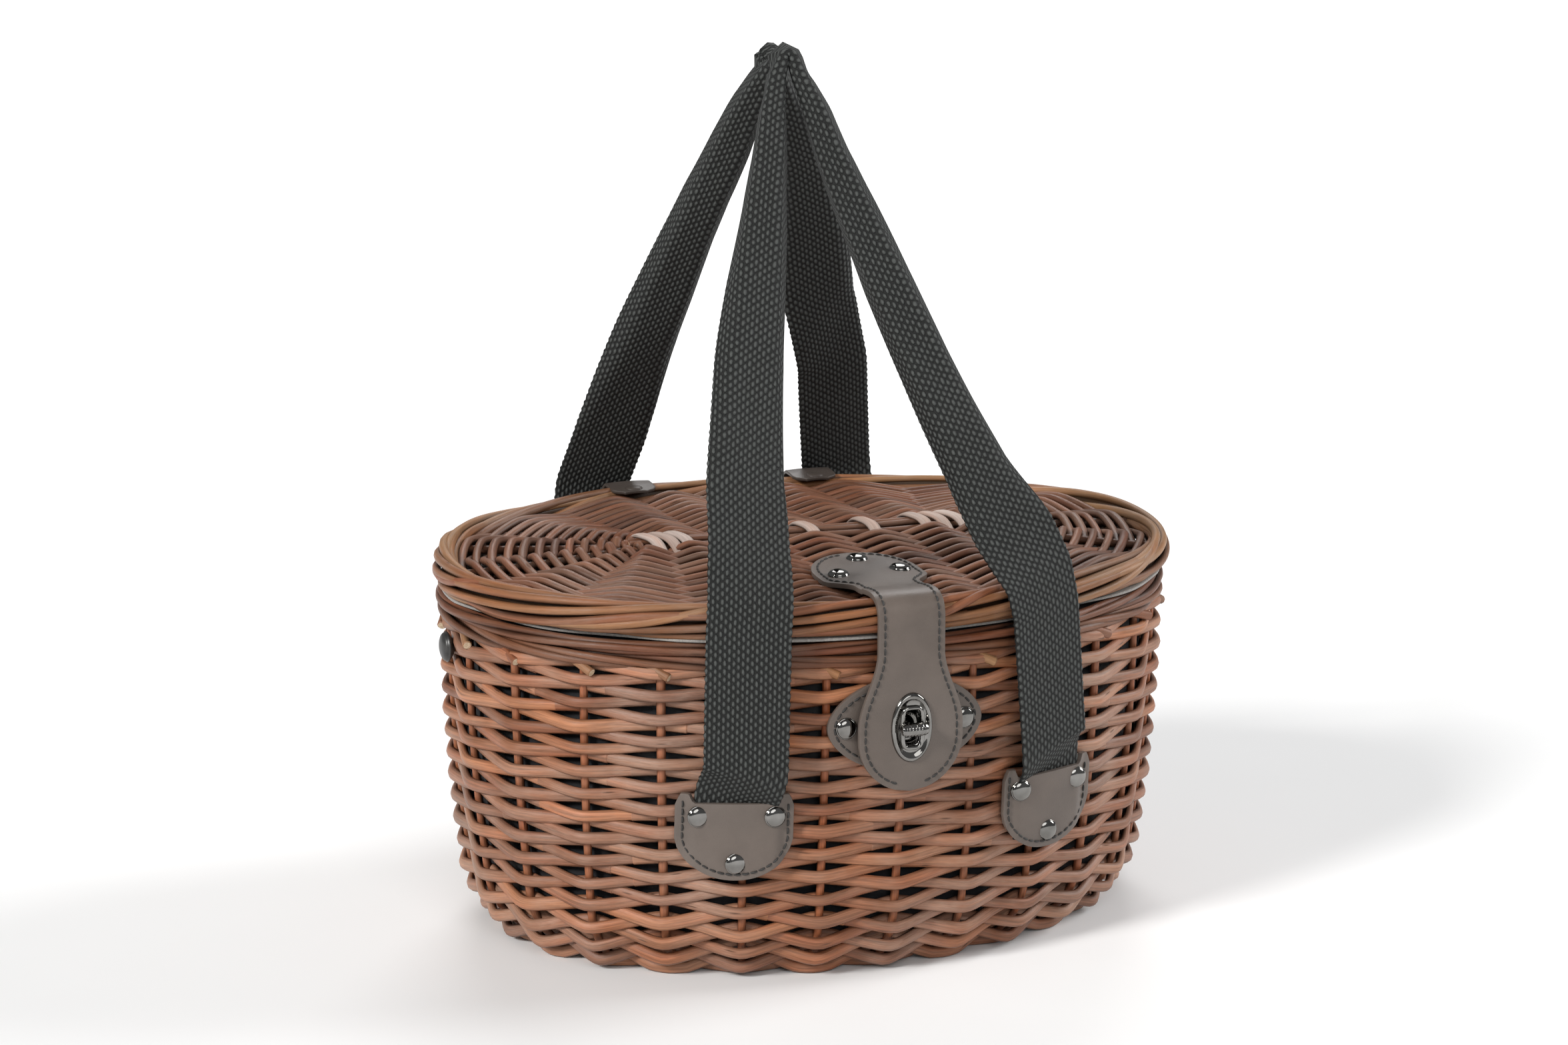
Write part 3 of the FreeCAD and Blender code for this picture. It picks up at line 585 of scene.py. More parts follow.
WALL_TONES = [
    (0.19, 0.078, 0.042), (0.33, 0.142, 0.075), (0.24, 0.112, 0.066), (0.4, 0.168, 0.08), (0.31, 0.16, 0.1)
]
STAKE_TONES = [(0.24, 0.08, 0.034), (0.33, 0.115, 0.05), (0.28, 0.11, 0.055)]
BORDER_TONES = [
    (0.21, 0.09, 0.036), (0.33, 0.175, 0.08), (0.17, 0.072, 0.032), (0.27, 0.125, 0.055), (0.21, 0.076, 0.036)
]
WALE_TONES = [(0.11, 0.037, 0.017), (0.18, 0.063, 0.028), (0.13, 0.052, 0.026), (0.21, 0.085, 0.04)]
# painted shade: the lid's tones are about half the wall's, darkening its upward-facing top
LID_TONES = [
    (0.1, 0.04, 0.022), (0.17, 0.072, 0.038), (0.125, 0.055, 0.03), (0.22, 0.098, 0.055), (0.15, 0.056, 0.028)
]
PALE_TONES = [(0.5, 0.4, 0.35), (0.44, 0.33, 0.28), (0.55, 0.45, 0.4)]

# grey sets the pale weathering, which also paints highlights on the rods' outward and upper faces
WILLOW_WALL = willow("wicker_side", WALL_TONES, streak=0.45, grey=0.5)
WILLOW_STAKES = willow("wicker_stakes", STAKE_TONES, grey=0.15)
WILLOW_WALE = willow("wicker_wale", WALE_TONES, grey=0.2, gloss=0.4)
WILLOW_BORDER = willow("wicker_border", BORDER_TONES, streak=0.28, grey=0.3, gloss=0.42)
# the lid rods take LID_TONES, darkened as painted shade
WILLOW_LID = willow("wicker_lid", LID_TONES, grey=0.25)
WILLOW_PALE = willow("pale_willow", PALE_TONES, streak=0.25, grey=0.3, gloss=0.55)
WEBBING = webbing_cloth()
LEATHER = leather_skin("leather", (0.115, 0.092, 0.078), (0.17, 0.145, 0.128))
HINGE_LEATHER = leather_skin("hinge_leather", (0.062, 0.05, 0.043), (0.1, 0.085, 0.075))
THREAD = thread_cloth()
NICKEL = nickel_metal()
BUTTON = button_skin()
LINING = lining_skin()
FELT = felt_skin()


def settle(piece, body, slot_name, *nodes):
    """The piece moves with a body and stands for CAD nodes; slot_name is not used."""
    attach(piece, body)
    if nodes:
        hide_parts(*nodes)
    return piece


# --- Wall

STAKES = 26
ROWS = 30


def wall_row(height, parity, lift, shape):
    """Gives the path of one weaver: outside one stake, inside the next."""
    drift = shape.random.random() * 100
    local = np.random.default_rng(int(drift * 1000))
    shifts = local.normal(0, 0.28, STAKES * 2)

    def place(t):
        turn = t / STAKES
        swing = chevron(t + parity)
        wobble = np.interp((t * 2) % (STAKES * 2), np.arange(STAKES * 2 + 1), np.append(shifts, shifts[0]))
        z = np.maximum(height - lift * swing + wobble, 3.0)
        reach = np.where(swing > 0, 3.6 + 1.6 * max(0, 1 - height / 45), 2.3)
        depth = wall_inset(np.clip(0.75 * height + 0.25 * z, 0, 170)) + 5.2 - reach * swing
        points, normal = on_oval(turn, depth, z)
        return points, normal

    return place


def build_wall():
    rods = Shape(11)
    slants = np.linspace(SLANT[4], np.interp(167.0, HEIGHTS, SLANT), ROWS)
    for row, slant in enumerate(slants):
        height = float(np.interp(slant, SLANT, HEIGHTS))
        lift = 1.2 + 5.2 * max(0, 1 - height / 70) ** 1.2
        place = wall_row(height, row % 2, lift, rods)
        woven_ring(rods, place, STAKES, row % 2, 3.2, samples=12, sides=9, flat=0.74, rods=5)
    wall = rods.build("wall_weave", WILLOW_WALL)
    settle(wall, "basket", "wicker_side", "side_weave")

    stakes = Shape(12)
    z = np.linspace(6, 172, 36)
    for index in range(STAKES):
        turn = index / STAKES + stakes.random.normal(0, 0.0006)
        lean = stakes.random.normal(0, 0.0008)
        turns = turn + lean * (z / 172)
        points, normal = on_oval(turns, wall_inset(z) + 5.6, z)
        tube(stakes, points, 2.25 * (1 + stakes.random.normal(0, 0.05)), normal, 8)
    settle(stakes.build("wall_stakes", WILLOW_STAKES), "basket", "wicker_stakes", "side_stakes")

    ends = Shape(13)
    for index in range(STAKES):
        turn = index / STAKES + 0.006 + ends.random.normal(0, 0.0008)
        reach = 0.013 + ends.random.random() * 0.006
        share = np.linspace(0, 1, 7)
        z = 170.5 - 5.6 * share**1.3 - ends.random.random()
        points, normal = on_oval(turn - reach * (1 - share), 9.5 - 5.6 * share, z)
        tube(ends, points, 2.35 + 0.25 * ends.random.random(), normal, 10)
    settle(ends.build("wale_cut_ends", WILLOW_BORDER), "basket", "wicker_border")


def rope(shape, strands, turns, inset, z, half_in, half_up, radius, climb=1, split=2, looseness=0.25):
    """Long rods wound round a ring that isn't there, each cut where it starts and ends."""
    for strand in range(strands):
        phase = 2 * math.pi * strand / strands
        wander = [shape.random.normal(0, 1, 2), shape.random.random(2) * 6.28]
        starts = np.sort(shape.random.random(split))
        for index, start in enumerate(starts):
            stop = starts[(index + 1) % split] + (1 if index == split - 1 else 0)
            u = np.linspace(start - 0.012, stop + 0.012, max(24, int((stop - start) * 330)))
            theta = climb * 2 * math.pi * turns * u + phase
            theta = theta + looseness * wander[0][0] * np.sin(2 * math.pi * 3 * u + wander[1][0])
            theta = theta + looseness * 0.6 * wander[0][1] * np.sin(2 * math.pi * 8 * u + wander[1][1])
            swell = 1 + 0.1 * np.sin(2 * math.pi * (5 * u + wander[1][1]))
            tip = np.minimum(ease(u, start - 0.012, start + 0.03), 1 - ease(u, stop - 0.03, stop + 0.012))
            out = (half_in - radius) * swell * (0.72 + 0.28 * tip)
            rise = (half_up - radius) * swell * (0.8 + 0.2 * tip)
            points, normal = on_oval(u, inset - out * np.cos(theta), z + rise * np.sin(theta))
            size = radius * (1 + shape.random.normal(0, 0.06)) * (0.9 + 0.1 * tip)
            across = unit(normal * np.cos(theta)[:, None] + UP * np.sin(theta)[:, None])
            tube(shape, points, size, across, 9)


def ring_core(shape, inset, z, half_in, half_up):
    """Inner rods that close the middle of a wound border, coloured all over as painted shade so the gaps
    between the wound rods read dark.
    """
    u = np.linspace(0, 1, 260, endpoint=False)
    for side in (-1, 0, 1):
        points, normal = on_oval(u, inset, z + side * half_up * 0.55)
        # under=1.0: the whole core takes the willow material's painted shade
        tube(shape, points, half_in, normal, 8, flat=0.8, closed=True, under=1.0)


def build_borders():
    wale = Shape(21)
    rope(wale, 4, 4, 7.8, 171.6, 5.0, 4.2, 2.05, climb=-1, split=3, looseness=0.3)
    settle(wale.build("top_wale_rods", WILLOW_WALE), "basket", "wicker_side", "top_wale")
    border = Shape(22)
    rope(border, 4, 2, 7.6, 178.3, 5.4, 3.6, 1.95, climb=1, split=3, looseness=0.4)
    ring_core(border, 8.6, 177.6, 2.6, 1.5)
    settle(border.build("body_border_rods", WILLOW_WALE), "basket", "wicker_side", "body_border")

    lid = Shape(23)
    low, high = LID_LOW[2], LID_HIGH[2]
    middle, half = (low + high) / 2, (high - low) / 2
    rope(lid, 8, 2, 7.0, middle, 7.1, half, 2.3, climb=1, split=4, looseness=0.26)
    rope(lid, 2, 4, 6.6, middle, 6.8, half - 0.2, 2.3, climb=1, split=4, looseness=0.4)
    ring_core(lid, 8.4, middle, 3.6, 5.0)
    settle(lid.build("lid_border_rods", WILLOW_BORDER), "lid", "wicker_border", "lid_border")


# --- Woven panels: the lid and the base

END_ANGLES = (-64, -32, 0, 32, 64)
CROSS_X = (-68, -34, 0, 34, 68)
HUB_RADIUS = 9


def spoke_lines(hub, inner_half, outer_inset):
    """Inner and outer end of each of the 20 spokes, in order round the panel from the front left."""
    inner, outer, turns = [], [], []
    fine = np.linspace(0, 1, 4001)
    edge, _ = oval(fine, np.full(fine.shape, outer_inset))
    fans = []
    for side, turned in ((-1, 0), (1, 180)):
        for x in CROSS_X[::-side]:
            fans.append(((x, side * inner_half), (0, side)))
        for degrees in END_ANGLES:
            angle = math.radians(turned + degrees)
            way = (math.cos(angle), math.sin(angle))
            fans.append(((-side * hub + way[0] * HUB_RADIUS, way[1] * HUB_RADIUS), way))
    for start, way in fans:
        delta = edge - np.array(start)
        ahead = delta @ np.array(way)
        off = np.abs(delta[:, 0] * way[1] - delta[:, 1] * way[0]) + np.where(ahead > 0, 0, 1e6)
        best = int(np.argmin(off))
        inner.append(start)
        outer.append(edge[best])
        turns.append(fine[best])
    turns = np.array(turns)
    turns = np.where(np.arange(20) < 2, turns - 1.0, turns)
    return np.array(inner), np.array(outer), turns


def panel(shape, sticks, hub, inner_half, outer_inset, rows, level, amplitude, radius, samples):
    """Weaves rows round a fan of spokes. level(share) is the height from the middle to the rim."""
    inner, outer, turns = spoke_lines(hub, inner_half, outer_inset)
    count = len(turns)
    marks = np.arange(count + 1)
    inner_ring = np.vstack([inner, inner[:1]])
    turn_ring = np.append(turns, turns[0] + 1.0)
    for row in range(rows):
        share = (row + 0.5) / rows
        parity = row % 2
        shifts = shape.random.normal(0, 0.35, count + 1)
        shifts[-1] = shifts[0]

        def place(t, share=share, parity=parity, shifts=shifts):
            local = t % count
            start = sample(local, marks, inner_ring)
            rim, _ = oval(np.interp(local, marks, turn_ring), np.full(t.shape, outer_inset))
            spread = np.linalg.norm(rim - start, axis=1, keepdims=True)
            flat = start + (rim - start) * (share + np.interp(local, marks, shifts)[:, None] / spread)
            swing = chevron(t + parity)
            z = level(share) + amplitude * swing
            return np.concatenate([flat, z[:, None]], -1), UP

        woven_ring(shape, place, count, parity, radius, samples, 9, 0.92, rods=3)
    for index in range(count):
        share = np.linspace(-0.04, 1.02, 24)
        flat = inner[index] + (outer[index] - inner[index]) * share[:, None]
        z = level(np.clip(share, 0, 1)) + sticks.random.normal(0, 0.1)
        tube(sticks, np.concatenate([flat, z[:, None]], -1), radius * 1.02, UP, 8)


def lid_level(share):
    return 194.5 + 6.0 * (1 - np.asarray(share, float)) ** 1.5


def build_lid():
    weave, sticks = Shape(31), Shape(32)
    panel(weave, sticks, 85, 11, 13.5, 23, lid_level, 4.3, 2.35, 12)
    settle(weave.build("lid_weave_rods", WILLOW_LID), "lid", "wicker_lid", "lid_weave")
    settle(
        sticks.build("lid_spokes", WILLOW_LID), "lid", "wicker_lid", "lid_cross_sticks", "lid_end_spokes"
    )

    bundle = Shape(33)
    for index in range(6):
        y = (index - 2.5) * 4.0
        x = np.linspace(-98, 98, 40) + bundle.random.normal(0, 1.5)
        z = 204.2 - 0.07 * y * y + 0.25 * np.sin(x * 0.09 + index)
        path = np.stack([x, y + 0.35 * np.sin(x * 0.05 + 2 * index), z], -1)
        tube(bundle, path, 2.05, UP, 8)
    settle(bundle.build("lid_centre_bundle", WILLOW_LID), "lid", "wicker_lid", "lid_centre_rods")

    wraps = Shape(34)
    for x, lean in ((-88, 5), (-80, 6), (-71.5, 5), (-34, 3), (0, 3), (34, 3), (63, 4), (72.5, 5), (82, 6)):
        share = np.linspace(-1, 1, 21)
        y = 15.5 * share
        z = 206.9 - 8.2 * np.abs(share) ** 3.2 + wraps.random.normal(0, 0.15)
        path = np.stack([x - lean * share, y, z], -1)
        width = 3.9 * (1 - 0.18 * share**2)
        out = unit(np.stack([np.zeros_like(y), 0.5 * share**3, np.ones_like(y)], -1))
        tube(wraps, path, width, out, 10, flat=0.36, cut=0.3)
    settle(wraps.build("lid_bundle_wraps", WILLOW_PALE), "lid", "pale_willow", "lid_wraps")

    pad_low, _ = corners("lid_lining")
    rings, around = 16, 200
    u = np.linspace(0, 1, around, endpoint=False)
    loops = []
    for bottom in (True, False):
        insets = np.concatenate([[4.6, 5.6, 8.0], np.linspace(14, 150, rings)])
        for number, inset in enumerate(insets if bottom else insets[::-1]):
            wander = 1.6 + 3.2 * np.sin(u * 2 * math.pi * 4 - 0.4) + 1.4 * np.sin(u * 2 * math.pi * 13)
            point, _ = oval(u, min(inset, 131.0) + np.maximum(0, wander) * (1 - ease(inset, 9, 20)))
            point = point * (1 - ease(inset, 120, 150) * 0.9995)
            quilt = 0.35 * np.sin(u * 2 * math.pi * 13) * ease(inset, 5, 30)
            if bottom:
                z = pad_low[2] + 0.45 * (number == 0) + 0.25 + 0.2 * quilt
            else:
                z = pad_low[2] + 1.9 + 3.2 * ease(inset, 5.5, 17) + quilt * 0.3
            loops.append(np.concatenate([point, np.broadcast_to(z, u.shape)[:, None]], -1))
    loops = np.array(loops)
    pad = Shape(35)
    faces = grid_faces(len(loops), around, True, True)
    pad.add(loops, [faces])
    pad_piece = pad.build("lid_pad", FELT)
    settle(pad_piece, "lid", "lid_pad_cloth", "lid_lining")


def base_level(share):
    return np.full(np.shape(share), 4.6)


def build_base():
    weave, sticks = Shape(41), Shape(42)
    panel(weave, sticks, 62, 9, 42, 20, base_level, 2.1, 2.1, 7)
    settle(weave.build("base_weave_rods", WILLOW_WALL), "basket", "wicker_side", "base_weave")
    settle(
        sticks.build("base_spokes", WILLOW_STAKES),
        "basket",
        "wicker_stakes",
        "base_long_sticks",
        "base_cross_sticks",
    )


# --- Lining

def build_lining():
    around = 260
    u = np.linspace(0, 1, around, endpoint=False)
    heights = np.concatenate([np.linspace(180.6, 12, 34), np.full(9, 10.2)])
    loops = []
    for number, z in enumerate(heights):
        depth = float(wall_inset(z)) + 11.0
        crease = 0.9 * np.sin(2 * math.pi * (19 * u + 0.02 * z))
        crease = crease + 0.8 * np.sin(2 * math.pi * 43 * u + z * 0.11)
        ripple = (0.7 + 0.5 * crease) * ease(z, 4, 30) * (1 - ease(z, 172, 180))
        if number < 34:
            point, _ = oval(u, depth + np.maximum(ripple, 0))
        else:
            share = (number - 33) / 9.5
            point, _ = oval(u, np.full(u.shape, float(wall_inset(12.0)) + 11.0))
            point = point * (1 - share)
        level = z + (0.3 * np.sin(u * 60) if number >= 34 else 0)
        loops.append(np.concatenate([point, np.broadcast_to(level, u.shape)[:, None]], -1))
    loops = np.array(loops)
    faces = grid_faces(len(loops), around, False, True).tolist()
    last = (len(loops) - 1) * around
    faces.append([last + k for k in range(around)])
    piece = new_piece("lining_bag", loops.reshape(-1, 3), faces)
    thick = piece.modifiers.new("thick", "SOLIDIFY")
    thick.thickness = 0.8 * MM
    thick.offset = 0
    set_shape(piece, LINING)
    settle(piece, "basket", "lining_cloth", "lining")


# --- Rivets

RIVET_RADIUS = 5.6


def rivet(shape, centre, out, radius=RIVET_RADIUS, height=2.5):
    """A polished dome with a small rolled lip."""
    angle = np.linspace(0, math.pi / 2, 9)
    dome = [(radius * 0.93 * math.cos(a) ** 0.9, 0.55 + (height - 0.55) * math.sin(a)) for a in angle]
    profile = [(radius * 0.9, -0.6), (radius, -0.2), (radius, 0.3), (radius * 0.95, 0.55)] + dome
    profile[-1] = (0.02, profile[-1][1])
    lathe(shape, profile, centre, out, 28)


# --- Leather patches, strap ends and handles

WEB_WIDTH, WEB_THICKNESS = 42.0, 2.2
# Half a patch's width, and its rivets: how far sideways and how far up from its lower edge.
PATCH_HALF = 29.5
PATCH_RIVETS = ((-19.2, 34.0), (19.2, 34.0), (0.0, 9.0))
# How far from the middle each handle's webbing stands, and the heights over which it leaves it.
STRAP_PLANE = {-1: 146.5, 1: 154.5}
LEAVES_WALL = {-1: (200, 236), 1: (150, 205)}
# The way the flat of the gathered tips faces.
TIP_FACING = np.array((0.336, 0.942, 0.0))


def patch_points(x_centre, side, low, high, half):
    """Grid of mid-points of one leather patch on the wall."""
    slope = math.cos(math.asin(x_centre / (SIDE_RADIUS - wall_inset(100.0))))
    across = np.linspace(-1, 1, 45)
    up = np.linspace(0, 1, 40)
    side_low = low + 22
    bottom = side_low - (side_low - low) * (1 - np.abs(across) ** 2.1) ** 0.62
    ear = ease(np.abs(across), 0.7, 0.78) - 1.6 * ease(np.abs(across), 0.9, 1.04)
    top = high - 4.6 + 4.6 * ear
    t, v = np.meshgrid(across, up)
    z = bottom + (top - bottom) * v
    x = x_centre + t * half * slope
    strap = 1 - ease(np.abs(t), 0.66, 0.86)
    offset = 1.9 + 1.9 * strap
    dimple = np.zeros_like(z)
    for u0, above in PATCH_RIVETS:
        distance = np.hypot(t * half - u0, z - (low + above))
        dimple += -0.55 * np.exp(-((distance / 7.5) ** 2))
    return wall_point(x, z, offset + dimple, side), slope


def build_patches():
    stitch = Shape(61)
    for side, name in ((-1, "front"), (1, "rear")):
        for hand in ("left", "right"):
            node = f"patch_{name}_{hand}"
            low, high = corners(node)
            x_centre = (low[0] + high[0]) / 2
            points, slope = patch_points(x_centre, side, low[2], high[2], PATCH_HALF)
            if side > 0:
                points = points[:, ::-1]
            piece = solid_sheet(f"leather_{node}", points, LEATHER, 2.5, rim=0.6)
            settle(piece, "basket", "leather", node)
            shape = Shape(62)
            for u, above in PATCH_RIVETS:
                height = low[2] + above
                x = x_centre + u * slope
                centre = wall_point(x, height, 4.5, side)
                out = unit(centre - wall_point(x, height, 0.0, side))
                rivet(shape, centre, out)
            piece = shape.build(f"rivets_{node}", NICKEL)
            settle(piece, "basket", "nickel", f"patch_rivets_{name}_{hand}")
            outline = patch_outline_line(low[2], PATCH_HALF)
            x = x_centre + outline[:, 0] * slope
            lift = 1.9 + 1.9 * (1 - ease(np.abs(outline[:, 0]) / PATCH_HALF, 0.66, 0.86)) + 1.3
            line = wall_point(x, outline[:, 1], lift, side)
            normals = unit(line - wall_point(x, outline[:, 1], lift - 2, side))
            stitches(stitch, line, normals)
    settle(stitch.build("patch_stitching", THREAD), "basket", "leather")


def patch_outline_line(low, half):
    """The seam of a patch, 3.2 mm in from its edge: up one side, round the bottom, up the other."""
    inner = half - 3.2
    across = np.linspace(-1, 1, 90)
    side_low = low + 22
    bottom = side_low - (side_low - low - 3.2) * (1 - np.abs(across) ** 2.1) ** 0.62
    curve = np.stack([across * inner, bottom], -1)
    sides = np.linspace(low + 42.0, side_low + 0.5, 20)
    left = np.stack([np.full(20, -inner), sides], -1)
    right = np.stack([np.full(20, inner), sides[::-1]], -1)
    return np.concatenate([left, curve, right])


def handle_points(side, left, right, plane, apex_y, low):
    """Centre line of a handle from one strap end, over the top and down to the other."""
    legs = []
    for leg in (left, right):
        z_low = np.linspace(low, 103, 14)
        x_low = np.full(z_low.shape, float(leg[0][0]))
        wall = wall_point(x_low, z_low, 1.25, side)
        xs, zs = np.array(leg, float).T
        top = zs[-1]
        y = side * (plane + (apex_y - plane) * np.clip((zs - 207) / (top - 207), 0, 1))
        free = np.stack([xs, y, zs], -1)[1:]
        legs.append(np.concatenate([wall, free]))
    path = np.concatenate([legs[0], legs[1][::-1][1:]])
    along = distance_along(path)
    fine = np.arange(0, along[-1], 1.5)
    line = sample(fine, along, path)
    kernel = np.hanning(9)
    kernel /= kernel.sum()
    for _ in range(2):
        padded = np.concatenate([line[:1].repeat(4, 0), line, line[-1:].repeat(4, 0)])
        line = np.stack([np.convolve(padded[:, k], kernel, "valid") for k in range(3)], -1)
    return line, fine


def build_handle(name, side, left, right, apex_y, widths):
    """left and right are (x, z) down each leg's middle; widths are (z, width seen) for each leg."""
    low, _ = corners(f"strap_ends_{name}")
    line, along = handle_points(side, left, right, STRAP_PLANE[side], apex_y, low[2])
    number = len(line)
    forward = unit(np.gradient(line, axis=0))
    flat_out = np.array((0.0, float(side), 0.0))
    wall_out = unit(line * np.array((1, 1, 0)) + np.array((0, side * SIDE_CENTRE, 0)))
    on_wall = (1 - ease(line[:, 2], *LEAVES_WALL[side]))[:, None]
    gathered = ease(line[:, 2], 280, 390)[:, None]
    turned = TIP_FACING * side
    out = unit((flat_out * (1 - gathered) + turned * gathered) * (1 - on_wall) + wall_out * on_wall)
    across = unit(np.cross(forward, out))
    out = np.cross(across, forward)
    apex = int(np.argmax(line[:, 2]))
    z = line[:, 2]
    seen = np.interp(z, *np.array(widths[0]).T)
    seen[apex:] = np.interp(z[apex:], *np.array(widths[1]).T)
    web = np.where(seen > 41.9, 42.0, seen * (0.68 + 0.3 * ease(seen, 34, 42)))
    bend = np.arccos(np.clip((seen - web) / np.maximum(WEB_WIDTH - web, 1e-3), 0, 1))
    bend = bend * ease(42.0 - seen, 0.0, 2.0)
    share = (WEB_WIDTH - web) / 2 * np.sin(bend) / 2
    line = line + flat_out * share[:, None] * (0.35 if side < 0 else 0.0)
    steps = 41
    s = np.linspace(-WEB_WIDTH / 2, WEB_WIDTH / 2, steps)
    ds = s[1] - s[0]
    edge = web[:, None] / 2
    soft = np.clip(edge * 0.45, 2.2, 6)
    fold = bend[:, None] * np.sign(s)[None] * ease(np.abs(s)[None] - edge, -soft, soft)
    local_x = np.cumsum(np.cos(fold), 1) * ds
    local_x -= local_x[:, steps // 2][:, None]
    local_y = np.cumsum(np.sin(fold), 1) * ds
    local_y -= local_y[:, steps // 2][:, None]
    local_y = local_y * side
    crumple = 0.5 * np.sin(along[:, None] * 0.07 + s[None] * 0.13) * ease(z, 200, 300)[:, None]
    local_y = local_y + crumple
    tangent = across[:, None] * np.cos(fold)[..., None] + out[:, None] * side * np.sin(fold)[..., None]
    surface = line[:, None] + across[:, None] * local_x[..., None] + out[:, None] * local_y[..., None]
    normal = unit(np.cross(tangent, forward[:, None]))
    normal *= np.sign((normal * out[:, None]).sum(-1).mean())
    scallop = 0.35 * np.cos(2 * math.pi * along / THREAD_ROW)
    half = WEB_THICKNESS / 2
    rounded = [(j, half * (1 if 0 < j < steps - 1 else 0.55)) for j in range(steps)]
    loop = rounded + [(j, -h) for j, h in reversed(rounded)]
    columns = []
    for j, h in loop:
        push = scallop * (1 if j == steps - 1 else -1 if j == 0 else 0)
        columns.append(surface[:, j] + normal[:, j] * h + tangent[:, j] * push[:, None])
    points = np.stack(columns, 1)
    width = np.array([s[j] + 60 + (200 if h < 0 else 0) for j, h in loop])
    grain = np.stack(np.broadcast_arrays(width[None], along[:, None], np.zeros((number, len(loop)))), -1)
    shape = Shape(71)
    faces = grid_faces(number, len(loop), False, True)
    caps = [np.arange(len(loop))[None, ::-1], (number - 1) * len(loop) + np.arange(len(loop))[None]]
    shape.add(points, [faces] + caps, 0.5, grain)
    piece = shape.build(f"{name}_webbing_handle", WEBBING)
    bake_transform(piece)
    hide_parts(f"{name}_handle", f"strap_ends_{name}")
    return piece


def build_handles():
    build_handle(
        "front",
        -1,
        [(-84, 103), (-83.5, 118), (-82, 190), (-81, 207), (-74, 260), (-61.5, 316), (-53, 351), (-42.6, 391),
         (-37, 411), (-32, 431), (-26, 450), (-21.6, 457), (-19.4, 461)],
        [(84, 103), (82, 118), (76, 190), (72, 207), (52, 252), (29.2, 311), (15.2, 348), (0.9, 389),
         (-5.5, 410), (-10.5, 431), (-16.8, 450), (-18, 457), (-19.4, 461)],
        23.0,
        ([(225, 42), (260, 40), (316, 34), (351, 28), (391, 19.5), (431, 12.5), (450, 7.5),
          (456, 5.5), (462, 3.5)],
         [(225, 42), (260, 31), (311, 25.5), (348, 23), (389, 18.5), (431, 12.5), (450, 7),
          (456, 5.5), (462, 3.5)]),
    )
    build_handle(
        "rear",
        1,
        [(-84, 103), (-81.5, 118), (-72, 202), (-59, 264), (-46.5, 318), (-39.5, 351), (-34, 375), (-27, 399),
         (-21.5, 420), (-15.5, 438), (-12, 446), (-10, 450)],
        [(84, 103), (83, 118), (75.5, 200), (60, 270), (45, 310), (33.6, 350), (20, 391), (7, 418), (-3, 437),
         (-8, 446), (-10, 450)],
        23.0,
        ([(225, 42), (290, 35), (351, 25), (399, 20.5), (423, 16), (446, 8), (457, 3.5)],
         [(225, 42), (300, 41), (350, 36), (391, 26), (423, 15), (446, 8), (457, 3.5)]),
    )


def frame_joint(name):
    """A joint's position in millimetres."""
    for joint in frame["record"]["behaviour"]["joints"]:
        if joint["name"] == name:
            return np.array(joint["pos_m"]) / MM
    raise ValueError(name)


# --- Latch, backing leaf, turn-lock

FLAP_LOW, FLAP_HIGH = corners("latch_flap")
LATCH_Z = float(frame_joint("turn_lock_turn")[2])
SLOT_HALF = (5.0, 10.0)


def latch_line():
    """Centre line (y, z) of the leather from the back of the tab, over the lid's edge, to the bottom."""
    front = -154.75
    rim = LID_HIGH[2] + 1.7
    back = [(-64, 205.0), (-74, 204.6), (-86, 204.0), (-98, 203.4), (-110, 203.0), (-120, 202.8)]
    over = [(-128, 202.8), (-135, rim - 0.6), (-141, rim), (-147, rim - 0.4), (-151.6, rim - 2.6)]
    down = [(front + 0.6, rim - 6.4), (front, rim - 11)]
    fall = [(front, z) for z in np.arange(188, FLAP_LOW[2] - 0.1, -6)] + [(front, FLAP_LOW[2])]
    path = np.array(back + over + down + fall, float)
    along = distance_along(path)
    fine = np.linspace(0, along[-1], 150)
    line = sample(fine, along, path)
    kernel = np.hanning(9)
    kernel /= kernel.sum()
    inner = np.stack([np.convolve(line[:, k], kernel, "valid") for k in range(2)], -1)
    line[4:-4] = inner
    return line, fine


def latch_half_width(line, along, margin=0.0):
    """Half the width of the latch leather at each place along it."""
    y, z = line[:, 0], line[:, 1]
    neck = 17.5 - margin
    head_radius = 28.0 - margin
    from_back = along - margin
    head = np.sqrt(np.clip(head_radius**2 - (from_back - head_radius) ** 2, 0, None))
    head_share = 1 - ease(along, 40, 58)
    upper = np.where(along < 28, head, neck + (head_radius - neck) * head_share)
    bulb_radius = 27.5 - margin
    bulb_z = FLAP_LOW[2] + 27.5
    bulb = np.sqrt(np.clip(bulb_radius**2 - (z - bulb_z) ** 2, 0, None))
    lower = np.where(z < bulb_z, bulb, neck + (bulb_radius - neck) * (1 - ease(z, bulb_z + 6, bulb_z + 44)))
    return np.where(y > -140, upper, lower)


